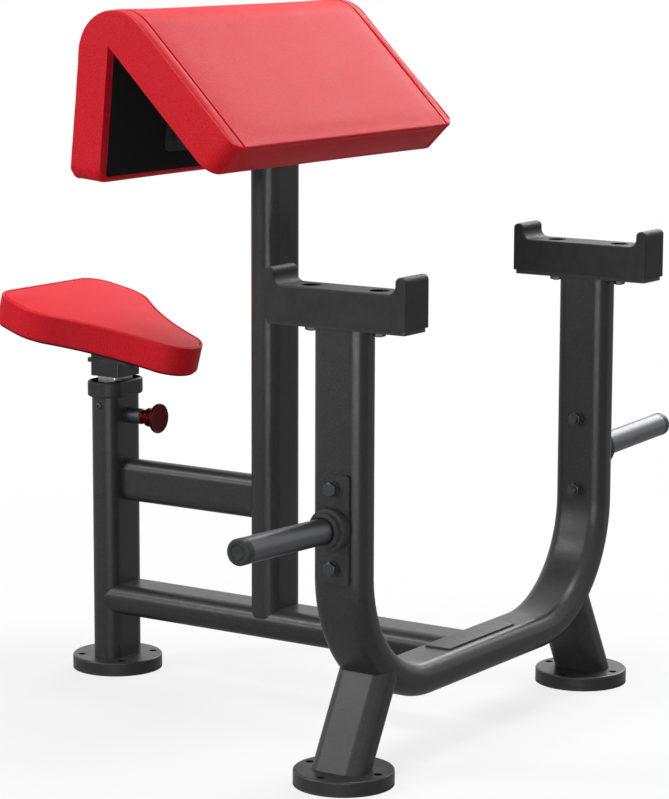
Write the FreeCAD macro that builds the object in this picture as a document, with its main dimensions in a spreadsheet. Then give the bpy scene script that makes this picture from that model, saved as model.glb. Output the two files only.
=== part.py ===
import FreeCAD, Part
import math
import os
import re
import Sketcher

# Preacher curl bench in millimetres, +Z up. X runs across the bench (the sitter's left is +X), the bar
# catches are at the front, -Y, and the seat at the back, +Y. The origin is on the floor, under the middle.

SIZES = [
    # flat-sided oval frame tube
    ("tube_wide", 88.9), ("tube_narrow", 50.8), ("tube_corner", 21.3), ("tube_wall", 3),
    # round bolt-down feet: a steel disc on a rubber disc
    ("foot_dia", 150), ("foot_plate", 19), ("foot_pad", 4), ("foot_edge", 3),
    ("anchor_circle", 120), ("anchor_hole", 13),
    # places of the tubes: the U frame, the post of the arm pad and the rear upright
    ("front_y", -365.2), ("post_y", 4.8), ("rear_y", 328.3),
    ("u_half", 357.5), ("u_top", 675), ("bend_radius", 189), ("beam_height", 123.5),
    ("foot_in", 0.5), ("leg_out", 4.5), ("leg_lean", 28.5),
    ("rear_top", 485), ("post_foot", 134),
    ("mid_height", 324), ("mid_tall", 71), ("mid_wide", 38), ("mid_corner", 18),
    # bare raised plate on the cross beam
    ("name_long", 198), ("name_wide", 44), ("name_thick", 3), ("name_corner", 3),
    # bar catches: a steel plate on each end of the U, with a urethane saddle on it
    ("catch_long", 243), ("catch_wide", 63), ("catch_floor", 51), ("catch_tall", 76),
    ("horn_thick", 18), ("horn_round", 8), ("saddle_round", 13), ("catch_edge", 2.5),
    ("catch_plate", 6.4), ("catch_inset", 3), ("catch_bolt_span", 116),
    ("catch_screw", 10), ("catch_head", 16), ("catch_head_tall", 10), ("catch_bore_deep", 32),
    ("catch_bore", 29), ("catch_nut", 17), ("catch_nut_tall", 8), ("screw_gap", 0.3),
    # weight pegs, each on a plate bolted through the U
    ("peg_bolt_rise", 15), ("peg_tilt", 1.9), ("peg_reach", 241), ("peg_dia", 38.1), ("peg_core", 30),
    ("peg_plate_wide", 56), ("peg_plate_tall", 160), ("peg_plate", 6.4), ("peg_plate_corner", 5),
    ("bumper_dia", 62), ("bumper_step", 52), ("bumper_long", 26), ("bumper_shoulder", 8),
    ("cap_long", 14), ("cap_round", 4), ("cap_groove", 1.2),
    ("peg_bolt", 12), ("peg_bolt_span", 117), ("peg_hex", 19), ("peg_head_tall", 7.5),
    ("peg_nut_tall", 10), ("peg_bolt_end", 4), ("washer_dia", 24), ("washer_thick", 2.5),
    # seat post, its guide and its collar
    ("slide_wide", 50), ("slide_deep", 38), ("slide_corner", 4), ("slide_wall", 3), ("slide_gap", 0.4),
    ("slide_long", 330), ("bush_long", 110), ("plug_flange", 3), ("plug_deep", 20),
    ("collar_wall", 7), ("collar_skirt", 20), ("collar_web", 2), ("collar_rim", 5), ("collar_rim_wide", 4),
    ("collar_edge", 4), ("bush_screw", 6), ("bush_screw_head", 11), ("bush_screw_tall", 4),
    ("bush_screw_drop", 34), ("bush_screw_grip", 12),
    # spring pin that locks the seat post
    ("pin_drop", 52.5), ("pin_dia", 12), ("pin_gap", 0.3), ("pin_grip", 2.5), ("hole_count", 7),
    ("hole_pitch", 25), ("barrel_dia", 26), ("barrel_long", 33), ("barrel_bore", 18), ("barrel_end", 4),
    ("stem_dia", 8), ("pin_flange", 2), ("pin_tip", 1),
    ("spring_dia", 13), ("spring_wire", 1.8), ("spring_turns", 5),
    ("knob_dia", 50), ("knob_neck", 24), ("knob_ring", 32), ("knob_long", 34), ("knob_rim", 6),
    ("knob_collar", 5), ("knob_ring_long", 4), ("knob_flare", 7), ("knob_groove", 2), ("knob_edge", 2),
    # seat: bracket, plate, board and cushion, tilted nose down
    ("block_gap", 6), ("block_wide", 59), ("block_deep", 58), ("block_tall", 23), ("block_corner", 3),
    ("ledge_tall", 7), ("ledge_out", 4), ("seat_rise", 64.5), ("seat_tilt", 14.7),
    ("seat_plate", 5), ("seat_plate_wide", 130), ("seat_plate_long", 170), ("seat_plate_corner", 12),
    ("seat_bolt_x", 46), ("seat_bolt_y", 62), ("seat_board", 12), ("seat_reveal", 3), ("seat_inset", 4),
    ("seat_thick", 52), ("seat_long", 327), ("seat_rear", 166.6), ("seat_half", 147),
    ("seat_shoulder", 75), ("seat_shoulder_y", 86), ("seat_waist", 400), ("seat_nose", 54),
    ("seat_rear_half", 141), ("seat_corner", 48), ("seat_crown", 3), ("seat_roll", 8), ("seat_bulge", 2),
    ("seat_belly", 0.35), ("seat_crown_reach", 0.6),
    # arm pad: an upturned V of two boards under one cushion
    ("ridge_back", 89.8), ("ridge_height", 1060), ("pad_slope", 45), ("pad_lean", 5.3), ("pad_wide", 610),
    ("slope_long", 267.5), ("slope_thick", 61.5), ("back_long", 210.5), ("back_thick", 55.5),
    ("apex_round", 65), ("pad_crease", 5), ("pad_hem", 9), ("pad_corner", 22), ("pad_shoulder", 14),
    ("pad_shoulder_drop", 10.7), ("pad_crown", 2), ("seam_in", 15), ("seam_deep", 1.5), ("seam_wide", 3),
    ("board_thick", 12), ("board_inset", 10), ("board_corner", 20), ("board_start", 3),
    ("pad_plate", 6), ("pad_plate_wide", 220), ("pad_plate_long", 150), ("pad_plate_corner", 8),
    ("pad_bolt_x", 88), ("pad_bolt_y", 54), ("strut_drop", 149), ("strut_wide", 60), ("strut_tall", 40),
    ("strut_corner", 5), ("strip_long", 300), ("strip_tall", 44), ("strip_bolt_x", 129),
    # small hex screws of the seat and the arm pad
    ("small_screw", 8), ("small_hex", 13), ("small_head", 5.3), ("small_tip", 1),
]

doc = FreeCAD.newDocument("preacher_curl_bench")
sheet = doc.addObject("Spreadsheet::Sheet", "dims")
for row, (alias, value) in enumerate(SIZES, start=1):
    sheet.set("A%d" % row, alias)
    sheet.set("B%d" % row, str(value))
    sheet.setAlias("B%d" % row, alias)
doc.recompute()
NAMES = {alias for alias, _ in SIZES}
X_AXIS = FreeCAD.Vector(1, 0, 0)
Y_AXIS = FreeCAD.Vector(0, 1, 0)
Z_AXIS = FreeCAD.Vector(0, 0, 1)
nodes = []


def full(text):
    """The expression with each size's name pointed at the sheet."""
    return re.sub(r"[a-z_]+", lambda m: "dims." + m[0] if m[0] in NAMES else m[0], text)


def num(text):
    """The present value of an expression."""
    return float(sheet.evalExpression(full(text)))


def bind(thing, prop, text):
    thing.setExpression(prop, full(text))


def keep(thing):
    """Lists an object as a sub-part that gets a file of its own."""
    nodes.append(thing)
    return thing


def put(thing, x="0", y="0", z="0", axis=Z_AXIS, angle="0"):
    """Ties an object's place, and its turn about one axis, to the sheet."""
    thing.Placement = FreeCAD.Placement(FreeCAD.Vector(), FreeCAD.Rotation(axis, num(angle)))
    for side, text in zip("xyz", (x, y, z)):
        if text != "0":
            bind(thing, "Placement.Base." + side, text)
    if re.search("[a-z]", angle):
        bind(thing, "Placement.Rotation.Angle", angle)
    return thing


def body(label, x="0", y="0", z="0", axis=Z_AXIS, angle="0"):
    made = doc.addObject("PartDesign::Body", label)
    made.Label = label
    return put(made, x, y, z, axis, angle)


def sketch(owner, plane, shift="0"):
    """A sketch on one of the body's own planes, moved along the plane's normal."""
    made = owner.newObject("Sketcher::SketchObject", owner.Label + "_sketch")
    flat = [part for part in owner.Origin.OriginFeatures if part.Role == plane][0]
    made.AttachmentSupport = [(flat, "")]
    made.MapMode = "FlatFace"
    if shift != "0":
        bind(made, "AttachmentOffset.Base.z", shift)
    return made


def rule(flat, text, kind, *places):
    """A constraint whose value follows the sheet."""
    index = flat.addConstraint(Sketcher.Constraint(kind, *places, num(text)))
    bind(flat, "Constraints[%d]" % index, text)


def pin_point(flat, line, end, x, y):
    """Holds a point of the sketch at x, y."""
    for text, kind, axis in ((x, "DistanceX", -2), (y, "DistanceY", -1)):
        if text == "0":
            flat.addConstraint(Sketcher.Constraint("PointOnObject", line, end, axis))
        else:
            rule(flat, text, kind, -1, 1, line, end)


def circle(flat, across, x="0", y="0"):
    ring = Part.Circle(FreeCAD.Vector(num(x), num(y), 0), Z_AXIS, num(across) / 2)
    line = flat.addGeometry(ring, False)
    pin_point(flat, line, 3, x, y)
    rule(flat, across, "Diameter", line)


def polygon(flat, points):
    """A closed outline of straight lines through points given as pairs of expressions."""
    spots = [FreeCAD.Vector(num(x), num(y), 0) for x, y in points]
    first = flat.GeometryCount
    count = len(points)
    for i in range(count):
        flat.addGeometry(Part.LineSegment(spots[i], spots[(i + 1) % count]), False)
    for i in range(count):
        flat.addConstraint(Sketcher.Constraint("Coincident", first + i, 2, first + (i + 1) % count, 1))
    for i, (x, y) in enumerate(points):
        pin_point(flat, first + i, 1, x, y)


def oval(flat, wide, tall, corner, x="0", y="0"):
    """A rectangle with round corners about x, y."""
    half_w, half_t, round_off = num(wide) / 2, num(tall) / 2, num(corner)
    centre = FreeCAD.Vector(num(x), num(y), 0)
    in_w, in_t = half_w - round_off, half_t - round_off
    first = flat.GeometryCount
    straights = [((-in_w, -half_t), (in_w, -half_t)), ((half_w, -in_t), (half_w, in_t)),
                 ((in_w, half_t), (-in_w, half_t)), ((-half_w, in_t), (-half_w, -in_t))]
    for start, end in straights:
        ends = [centre + FreeCAD.Vector(*spot, 0) for spot in (start, end)]
        flat.addGeometry(Part.LineSegment(*ends), False)
    middles = [(in_w, -in_t), (in_w, in_t), (-in_w, in_t), (-in_w, -in_t)]
    for i, spot in enumerate(middles):
        ring = Part.Circle(centre + FreeCAD.Vector(*spot, 0), Z_AXIS, round_off)
        from_angle = (i - 1) * math.pi / 2
        flat.addGeometry(Part.ArcOfCircle(ring, from_angle, from_angle + math.pi / 2), False)
    for i in range(4):
        arc = first + 4 + i
        flat.addConstraint(Sketcher.Constraint("Tangent", first + i, 2, arc, 1))
        flat.addConstraint(Sketcher.Constraint("Tangent", arc, 2, first + (i + 1) % 4, 1))
        flat.addConstraint(Sketcher.Constraint("Horizontal" if i % 2 == 0 else "Vertical", first + i))
    for i in range(1, 4):
        flat.addConstraint(Sketcher.Constraint("Equal", first + 4, first + 4 + i))
    rule(flat, corner, "Radius", first + 4)
    rule(flat, wide, "DistanceX", first + 3, 1, first + 1, 1)
    rule(flat, tall, "DistanceY", first, 1, first + 2, 1)
    pin_point(flat, first + 7, 3, "%s - (%s) / 2 + (%s)" % (x, wide, corner),
              "%s - (%s) / 2 + (%s)" % (y, tall, corner))


def tube_ring(flat, wide, tall, corner, wall, x="0", y="0"):
    """The outer and inner outline of a tube."""
    oval(flat, wide, tall, corner, x, y)
    oval(flat, "%s - 2 * %s" % (wide, wall), "%s - 2 * %s" % (tall, wall), "%s - %s" % (corner, wall), x, y)


def pad(owner, flat, length, back=False, both=False):
    made = owner.newObject("PartDesign::Pad", owner.Label + "_pad")
    made.Profile = flat
    bind(made, "Length", length)
    made.Reversed = back
    if both:
        made.SideType = "Symmetric"
    return made


def pocket(owner, flat, length=None, back=False, both=False):
    """Cuts a sketch's outline away, right through where no length is given."""
    made = owner.newObject("PartDesign::Pocket", owner.Label + "_pocket")
    made.Profile = flat
    made.Reversed = back
    if both:
        made.SideType = "Symmetric"
    if length is None:
        made.Type = "ThroughAll"
    else:
        bind(made, "Length", length)
    return made


def fillet(owner, base, radius, pick):
    """Rounds the edges of the base that pick chooses."""
    doc.recompute()
    edges = ["Edge%d" % (i + 1) for i, edge in enumerate(base.Shape.Edges) if pick(edge)]
    made = owner.newObject("PartDesign::Fillet", owner.Label + "_fillet")
    made.Base = (base, edges)
    bind(made, "Radius", radius)
    return made


def turned(label, points, x="0", y="0", z="0", axis=Z_AXIS, angle="0"):
    """A turned piece: its outline, as pairs of length and radius, goes round its own -X axis."""
    made = body(label, x, y, z, axis, angle)
    flat = sketch(made, "XZ_Plane")
    polygon(flat, [("0" if long == "0" else "-(%s)" % long, radius) for long, radius in points])
    spin = made.newObject("PartDesign::Revolution", label + "_turn")
    spin.Profile = flat
    spin.ReferenceAxis = (flat, ["H_Axis"])
    spin.Angle = 360
    return made


def mirror(source, label):
    """The left-hand twin of a right-hand piece."""
    made = doc.addObject("Part::Mirroring", label)
    made.Label = label
    made.Source = source
    made.Normal = X_AXIS
    return made


def rod(name, across, length, spot, axis=Z_AXIS, angle=0, sides=0):
    """A round rod, or a hexagon bar measured over its flats, from a spot along a turned Z axis."""
    if sides:
        made = doc.addObject("Part::Prism", name)
        made.Polygon = sides
        bind(made, "Circumradius", "(%s) / 2 / cos(180 / %d)" % (across, sides))
    else:
        made = doc.addObject("Part::Cylinder", name)
        bind(made, "Radius", "(%s) / 2" % across)
    bind(made, "Height", length)
    return put(made, *spot, axis=axis, angle=str(angle))


def join(name, pieces):
    made = doc.addObject("Part::MultiFuse", name)
    made.Shapes = pieces
    return made


def less(name, base, tool):
    made = doc.addObject("Part::Cut", name)
    made.Base = base
    made.Tool = tool
    return made


def group(label, pieces):
    """Like fasteners that share one node."""
    made = doc.addObject("Part::Compound", label)
    made.Label = label
    made.Links = pieces
    return keep(made)


def along(edge, axis):
    """Whether an edge is a straight line along an axis."""
    return edge.Curve.TypeId == "Part::GeomLine" and abs(abs(edge.Curve.Direction.dot(axis)) - 1) < 1e-6


FOOT_TOP = "(foot_plate + foot_pad)"
FRONT_FOOT_X = "-(u_half - foot_in)"


def foot_disc(label, base, thick, x, y, first_hole):
    """A round disc with four anchor holes on a circle."""
    made = body(label, x, y, base)
    flat = sketch(made, "XY_Plane")
    circle(flat, "foot_dia")
    for turn in range(first_hole, first_hole + 360, 90):
        x = "0" if turn % 180 == 90 else "anchor_circle / 2 * cos(%d)" % turn
        y = "0" if turn % 180 == 0 else "anchor_circle / 2 * sin(%d)" % turn
        circle(flat, "anchor_hole", x, y)
    pad(made, flat, thick)
    return made


def foot(side, x, y, first_hole):
    """One bolt-down foot: the steel disc with its rounded top edge, and the rubber disc under it."""
    disc = foot_disc(side + "_foot_plate", "foot_pad", "foot_plate", x, y, first_hole)
    top = num("foot_plate")
    fillet(disc, disc.Tip, "foot_edge",
           lambda edge: abs(edge.CenterOfMass.z - top) < 0.01 and edge.Length > num("foot_dia"))
    rubber = foot_disc(side + "_foot_pad", "0", "foot_pad", x, y, first_hole)
    return keep(disc), keep(rubber)


foot("rear", "0", "rear_y", 45)
right_disc, right_rubber = foot("right", FRONT_FOOT_X, "front_y", 0)
keep(mirror(right_disc, "left_foot_plate"))
keep(mirror(right_rubber, "left_foot_pad"))

# Rear upright: stands on the rear foot with its wide side to the front, open at the top for the seat post.
PIN_Z = "(rear_top - pin_drop)"
SCREW_Z = "(rear_top - bush_screw_drop)"
upright = keep(body("rear_upright", "0", "rear_y"))
flat = sketch(upright, "XY_Plane", FOOT_TOP)
tube_ring(flat, "tube_wide", "tube_narrow", "tube_corner", "tube_wall")
pad(upright, flat, "rear_top - " + FOOT_TOP)
flat = sketch(upright, "XZ_Plane")
circle(flat, "pin_dia + 2 * pin_gap", "0", PIN_Z)
pocket(upright, flat, back=True)
flat = sketch(upright, "YZ_Plane")
circle(flat, "bush_screw + 2 * screw_gap", "0", SCREW_Z)
pocket(upright, flat, both=True)

# U frame: one tube bent twice, its wide side front to back.
U_PATH = [("-u_half", "u_top"), ("-u_half", "beam_height + bend_radius"),
          ("bend_radius - u_half", "beam_height"), ("u_half - bend_radius", "beam_height"),
          ("u_half", "beam_height + bend_radius"), ("u_half", "u_top")]


def u_path(owner):
    """The centre line of the U: straight, bend, straight, bend, straight."""
    flat = sketch(owner, "XZ_Plane")
    spots = [FreeCAD.Vector(num(x), num(y), 0) for x, y in U_PATH]
    radius = num("bend_radius")
    for i, turn in enumerate((None, math.pi, None, 1.5 * math.pi, None)):
        if turn is None:
            flat.addGeometry(Part.LineSegment(spots[i], spots[i + 1]), False)
        else:
            centre_x = spots[2].x if i == 1 else spots[3].x
            middle = FreeCAD.Vector(centre_x, spots[1].y, 0)
            ring = Part.Circle(middle, Z_AXIS, radius)
            flat.addGeometry(Part.ArcOfCircle(ring, turn, turn + math.pi / 2), False)
            rule(flat, "bend_radius", "Radius", i)
    for i in range(4):
        flat.addConstraint(Sketcher.Constraint("Coincident", i, 2, i + 1, 1))
    for i, (x, y) in enumerate(U_PATH[:-1]):
        pin_point(flat, i, 1, x, y)
    pin_point(flat, 4, 2, *U_PATH[-1])
    return flat


def u_sweep(owner, kind, hollow):
    """Adds or takes away the tube's section along the U."""
    path = u_path(owner)
    flat = sketch(owner, "XY_Plane", "u_top")
    if hollow:
        tube_ring(flat, "tube_narrow", "tube_wide", "tube_corner", "tube_wall", "-u_half")
    else:
        oval(flat, "tube_narrow", "tube_wide", "tube_corner", "-u_half")
    swept = owner.newObject(kind, owner.Label + "_sweep")
    swept.Profile = flat
    swept.Spine = path
    return swept


LOW_BOLT = "(beam_height + bend_radius + peg_bolt_rise)"
PEG_Z = "(%s + peg_bolt_span / 2)" % LOW_BOLT
PEG_BOLT_Z = [LOW_BOLT, LOW_BOLT + " + peg_bolt_span"]
u_frame = keep(body("u_frame", "0", "front_y"))
u_sweep(u_frame, "PartDesign::AdditivePipe", True)
flat = sketch(u_frame, "YZ_Plane")
for bolt_z in PEG_BOLT_Z:
    circle(flat, "peg_bolt + 2 * screw_gap", "0", bolt_z)
pocket(u_frame, flat, both=True)

# Front legs: from the feet, leaning in, each coped round the underside of a bend of the U.
LEG_X = "(u_half + leg_out)"
LEG_OUT = "(leg_out + bend_radius)"
LEG_UP = "(beam_height + bend_radius - %s)" % FOOT_TOP
LEG_ALONG = "(%s * sin(leg_lean) + %s * cos(leg_lean))" % (LEG_OUT, LEG_UP)
LEG_REACH = "%s - sqrt(%s ^ 2 - %s ^ 2 - %s ^ 2 + bend_radius ^ 2)" % (LEG_ALONG, LEG_ALONG, LEG_OUT, LEG_UP)
right_leg = keep(body("right_leg", "0", "front_y"))
flat = sketch(right_leg, "XY_Plane", FOOT_TOP)
flat.AttachmentOffset = FreeCAD.Placement(FreeCAD.Vector(), FreeCAD.Rotation(Y_AXIS, num("leg_lean")))
bind(flat, "AttachmentOffset.Rotation.Angle", "leg_lean")
bind(flat, "AttachmentOffset.Base.x", "-" + LEG_X)
tube_ring(flat, "tube_narrow", "tube_wide", "tube_corner", "tube_wall")
shaft = pad(right_leg, flat, LEG_REACH)
shaft.SideType = "Two sides"
bind(shaft, "Length2", "tube_narrow")
flat = sketch(right_leg, "XZ_Plane")
polygon(flat, [("-%s - 2 * tube_wide" % LEG_X, FOOT_TOP), ("-%s + 2 * tube_wide" % LEG_X, FOOT_TOP),
               ("-%s + 2 * tube_wide" % LEG_X, "-2 * tube_wide"),
               ("-%s - 2 * tube_wide" % LEG_X, "-2 * tube_wide")])
pocket(right_leg, flat, both=True)
u_sweep(right_leg, "PartDesign::SubtractivePipe", False)
keep(mirror(right_leg, "left_leg"))

# Lower beam: lies flat from the rear upright to the cross beam, coped to both.
lower_beam = keep(body("lower_beam"))
flat = sketch(lower_beam, "XZ_Plane", "-rear_y")
tube_ring(flat, "tube_wide", "tube_narrow", "tube_corner", "tube_wall", "0", "beam_height")
pad(lower_beam, flat, "rear_y - front_y")
flat = sketch(lower_beam, "XY_Plane")
oval(flat, "tube_wide", "tube_narrow", "tube_corner", "0", "rear_y")
pocket(lower_beam, flat, both=True)
flat = sketch(lower_beam, "YZ_Plane")
oval(flat, "tube_wide", "tube_narrow", "tube_corner", "front_y", "beam_height")
pocket(lower_beam, flat, both=True)

# Middle brace: a smaller flat-sided tube on edge between the rear upright and the post.
mid_brace = keep(body("mid_brace"))
flat = sketch(mid_brace, "XZ_Plane", "tube_narrow / 2 - rear_y")
tube_ring(flat, "mid_wide", "mid_tall", "mid_corner", "tube_wall", "0", "mid_height")
pad(mid_brace, flat, "rear_y - post_y - tube_narrow")

# Bare plate on top of the cross beam.
bare_plate = keep(body("cross_plate", "0", "front_y", "beam_height + tube_narrow / 2"))
flat = sketch(bare_plate, "XY_Plane")
oval(flat, "name_long", "name_wide", "name_corner")
pad(bare_plate, flat, "name_thick")


def slope_point(down, out):
    """A point of the pad's front half, down its slope from the ridge and out from its inner face."""
    return ("-(%s) * cos(pad_slope) - (%s) * sin(pad_slope)" % (down, out),
            "-(%s) * sin(pad_slope) + (%s) * cos(pad_slope)" % (down, out))


def back_point(down, out):
    """A point of the pad's rear half, down from the ridge and out from its inner face."""
    return ("(%s) * sin(pad_lean) + (%s) * cos(pad_lean)" % (down, out),
            "-(%s) * cos(pad_lean) + (%s) * sin(pad_lean)" % (down, out))


def from_ridge(point, y="ridge_back", z="ridge_height"):
    return ("%s + %s" % (y, point[0]), "%s + %s" % (z, point[1]))


# Post of the arm pad: coped over the lower beam, its top cut to the slope of the pad plate.
post = keep(body("centre_post", "0", "post_y"))
flat = sketch(post, "XY_Plane", "post_foot")
tube_ring(flat, "tube_wide", "tube_narrow", "tube_corner", "tube_wall")
pad(post, flat, "ridge_height - post_foot")
flat = sketch(post, "XZ_Plane")
oval(flat, "tube_wide", "tube_narrow", "tube_corner", "0", "beam_height")
pocket(post, flat, both=True)
flat = sketch(post, "YZ_Plane")
cut_above = [("-slope_thick", "-pad_plate"), ("slope_long", "-pad_plate"),
             ("slope_long", "slope_long"), ("-slope_thick", "slope_long")]
polygon(flat, [from_ridge(slope_point(down, out)) for down, out in cut_above])
pocket(post, flat, both=True)

# Arm pad's steel: a plate on the sloping top of the post, and a strut with a strip behind the post.
RIDGE_Y = "(post_y + ridge_back)"
PLATE_MID = "(ridge_back / cos(pad_slope))"
SLOPE_TURN = {"axis": X_AXIS, "angle": "pad_slope"}
BACK_TURN = {"axis": X_AXIS, "angle": "90 + pad_lean"}
PLATE_BOLTS = [(x + "pad_bolt_x", "-%s %s pad_bolt_y" % (PLATE_MID, y)) for x in ("-", "") for y in "+-"]
STRIP_BOLTS = [(x + "strip_bolt_x", "-strut_drop") for x in ("-", "")]
SCREW_HOLE = "small_screw + 2 * screw_gap"


def plate_with_holes(label, frame, outline, holes, base, thick):
    """A flat plate or board in the frame of one half of the pad or of the seat."""
    made = body(label, *frame[0], **frame[1])
    flat = sketch(made, "XY_Plane", base)
    oval(flat, *outline)
    for x, y in holes:
        circle(flat, SCREW_HOLE, x, y)
    pad(made, flat, thick)
    return keep(made)


SLOPE_FRAME = (("0", RIDGE_Y, "ridge_height"), SLOPE_TURN)
BACK_FRAME = (("0", RIDGE_Y, "ridge_height"), BACK_TURN)
plate_with_holes("pad_plate", SLOPE_FRAME,
                 ("pad_plate_wide", "pad_plate_long", "pad_plate_corner", "0", "-" + PLATE_MID),
                 PLATE_BOLTS, "-pad_plate", "pad_plate")
plate_with_holes("pad_strip", BACK_FRAME,
                 ("strip_long", "strip_tall", "pad_plate_corner", "0", "-strut_drop"),
                 STRIP_BOLTS, "0", "pad_plate")
strut = keep(body("pad_strut", "0", "post_y"))
flat = sketch(strut, "XZ_Plane", "-tube_narrow / 2")
tube_ring(flat, "strut_wide", "strut_tall", "strut_corner", "tube_wall", "0",
          "ridge_height - strut_drop * cos(pad_lean)")
pad(strut, flat, "ridge_back + back_thick", back=True)
flat = sketch(strut, "YZ_Plane")
cut_behind = [("0", "-pad_plate"), ("back_long", "-pad_plate"),
              ("back_long", "2 * back_thick"), ("0", "2 * back_thick")]
polygon(flat, [from_ridge(back_point(down, out)) for down, out in cut_behind])
pocket(strut, flat, both=True)

# Boards of the arm pad, let into the inner faces of its cushion.
BOARD_WIDE = "pad_wide - 2 * board_inset"
FRONT_BOARD = "(slope_long - board_inset - board_start)"
BACK_BOARD = "(back_long - board_inset - board_start)"
plate_with_holes("pad_board_front", SLOPE_FRAME,
                 (BOARD_WIDE, FRONT_BOARD, "board_corner", "0", "-%s / 2 - board_start" % FRONT_BOARD),
                 PLATE_BOLTS, "0", "board_thick")
plate_with_holes("pad_board_rear", BACK_FRAME,
                 (BOARD_WIDE, BACK_BOARD, "board_corner", "0", "-%s / 2 - board_start" % BACK_BOARD),
                 STRIP_BOLTS, "-board_thick", "board_thick")


def hex_screws(label, spots, under, grip, down, frame):
    """Hexagon screws with their heads at one height, in the frame of the plate that they hold."""
    made = []
    turn = {"axis": X_AXIS, "angle": 180 if down else 0}
    head_from = "(%s) %s small_head" % (under, "+" if down else "-")
    for x, y in spots:
        head = rod(label + "_head", "small_hex", "small_head", (x, y, head_from), sides=6, **turn)
        shank = rod(label + "_shank", "small_screw", "small_head + %s" % grip, (x, y, head_from), **turn)
        made.append(join(label + "_screw", [head, shank]))
    put(group(label, made), *frame[0], **frame[1])


PAD_GRIP = "pad_plate + board_thick - small_tip"
hex_screws("pad_plate_screws", PLATE_BOLTS, "-pad_plate", PAD_GRIP, False, SLOPE_FRAME)
hex_screws("pad_strip_screws", STRIP_BOLTS, "pad_plate", PAD_GRIP, True, BACK_FRAME)


def wire(points, bulges):
    """A closed wire of lines and arcs; a bulge is the middle point of the arc that starts at its point."""
    edges = []
    for i, start in enumerate(points):
        end = points[(i + 1) % len(points)]
        if i in bulges:
            edges.append(Part.Arc(start, bulges[i], end).toShape())
        else:
            edges.append(Part.LineSegment(start, end).toShape())
    return Part.Wire(edges)


def pad_section(x):
    """The arm pad's outline at one place across its width, as a wire of lines and arcs."""
    half = num("pad_wide") / 2
    crown = num("pad_crown") * (1 - (x / half) ** 2)
    shoulder, drop, corner = num("pad_shoulder"), num("pad_shoulder_drop"), num("pad_corner")
    past = max(0, abs(x) - half + shoulder) / shoulder
    sink = drop * (1 - math.sqrt(1 - past ** 2))
    off_seam = abs(abs(x) - half + num("seam_in"))
    seam = num("seam_deep") * max(0, 1 - 2 * off_seam / num("seam_wide"))
    swell = crown - sink - seam
    turn = max(0, abs(x) - half + corner)
    trim = corner - math.sqrt(corner ** 2 - turn ** 2)
    slope, lean = math.radians(num("pad_slope")), math.radians(num("pad_lean"))
    out_front = num("slope_thick") + swell
    out_back = num("back_thick") + swell
    down_front = num("slope_long") - trim
    down_back = num("back_long") - trim
    crease, hem, apex = num("pad_crease"), num("pad_hem"), num("apex_round") + swell

    def front(down, out):
        return FreeCAD.Vector(x, -down * math.cos(slope) - out * math.sin(slope),
                              -down * math.sin(slope) + out * math.cos(slope))

    def back(down, out):
        return FreeCAD.Vector(x, down * math.sin(lean) + out * math.cos(lean),
                              -down * math.cos(lean) + out * math.sin(lean))

    nook = math.sqrt(0.5)
    peak_y = (math.cos(slope) * out_back - math.sin(lean) * out_front) / math.cos(slope - lean)
    peak_z = (math.sin(slope) * out_back + math.cos(lean) * out_front) / math.cos(slope - lean)
    half_turn = (math.pi / 2 - slope + lean) / 2
    reach = apex / math.tan(half_turn)
    aim = lean / 2 + math.pi / 4 + slope / 2
    middle = FreeCAD.Vector(x, peak_y - apex / math.sin(half_turn) * math.cos(aim),
                            peak_z - apex / math.sin(half_turn) * math.sin(aim))
    on_front = FreeCAD.Vector(x, peak_y - reach * math.cos(slope), peak_z - reach * math.sin(slope))
    on_back = FreeCAD.Vector(x, peak_y + reach * math.sin(lean), peak_z - reach * math.cos(lean))
    top = middle + FreeCAD.Vector(0, math.cos(aim), math.sin(aim)) * apex
    points = [front(0, 0), front(down_front - hem, 0), front(down_front, hem),
              front(down_front, out_front - crease), front(down_front - crease, out_front),
              on_front, on_back, back(down_back - crease, out_back), back(down_back, out_back - crease),
              back(down_back, hem), back(down_back - hem, 0)]
    bulges = {1: front(down_front - hem + hem * nook, hem - hem * nook),
              3: front(down_front - crease + crease * nook, out_front - crease + crease * nook),
              5: top,
              7: back(down_back - crease + crease * nook, out_back - crease + crease * nook),
              9: back(down_back - hem + hem * nook, hem - hem * nook)}
    return wire(points, bulges)


def pad_stations():
    """Places across the pad: close together over the rounded ends and the seams, then one at the middle."""
    half = num("pad_wide") / 2
    turn = num("pad_corner")
    ends = [half - turn + turn * math.sin(math.radians(angle)) for angle in (0, 20, 52, 66, 78, 87)]
    seam = half - num("seam_in")
    step = num("seam_wide") / 2
    side = sorted(ends + [seam - step, seam, seam + step])
    return [-x for x in reversed(side)] + [0] + side


# Arm pad cushion: one V of foam in sewn vinyl over both boards, rounded at its ends, with a seam near each.
cushion = keep(doc.addObject("Part::Feature", "pad_cushion"))
cushion.Label = "pad_cushion"
soft = Part.makeLoft([pad_section(x) for x in pad_stations()], True, True)
for label in ("pad_board_front", "pad_board_rear"):
    doc.recompute()
    board = doc.getObject(label)
    place = board.Placement.copy()
    place.Base = FreeCAD.Vector()
    wide, deep = num(BOARD_WIDE), num("board_thick")
    long = num(FRONT_BOARD if label.endswith("front") else BACK_BOARD)
    low = 0 if label.endswith("front") else -deep
    recess = Part.makeBox(wide, long, deep, FreeCAD.Vector(-wide / 2, -long - num("board_start"), low))
    recess.Placement = place
    soft = soft.cut(recess)
cushion.Shape = soft
put(cushion, "0", RIDGE_Y, "ridge_height")

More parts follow.
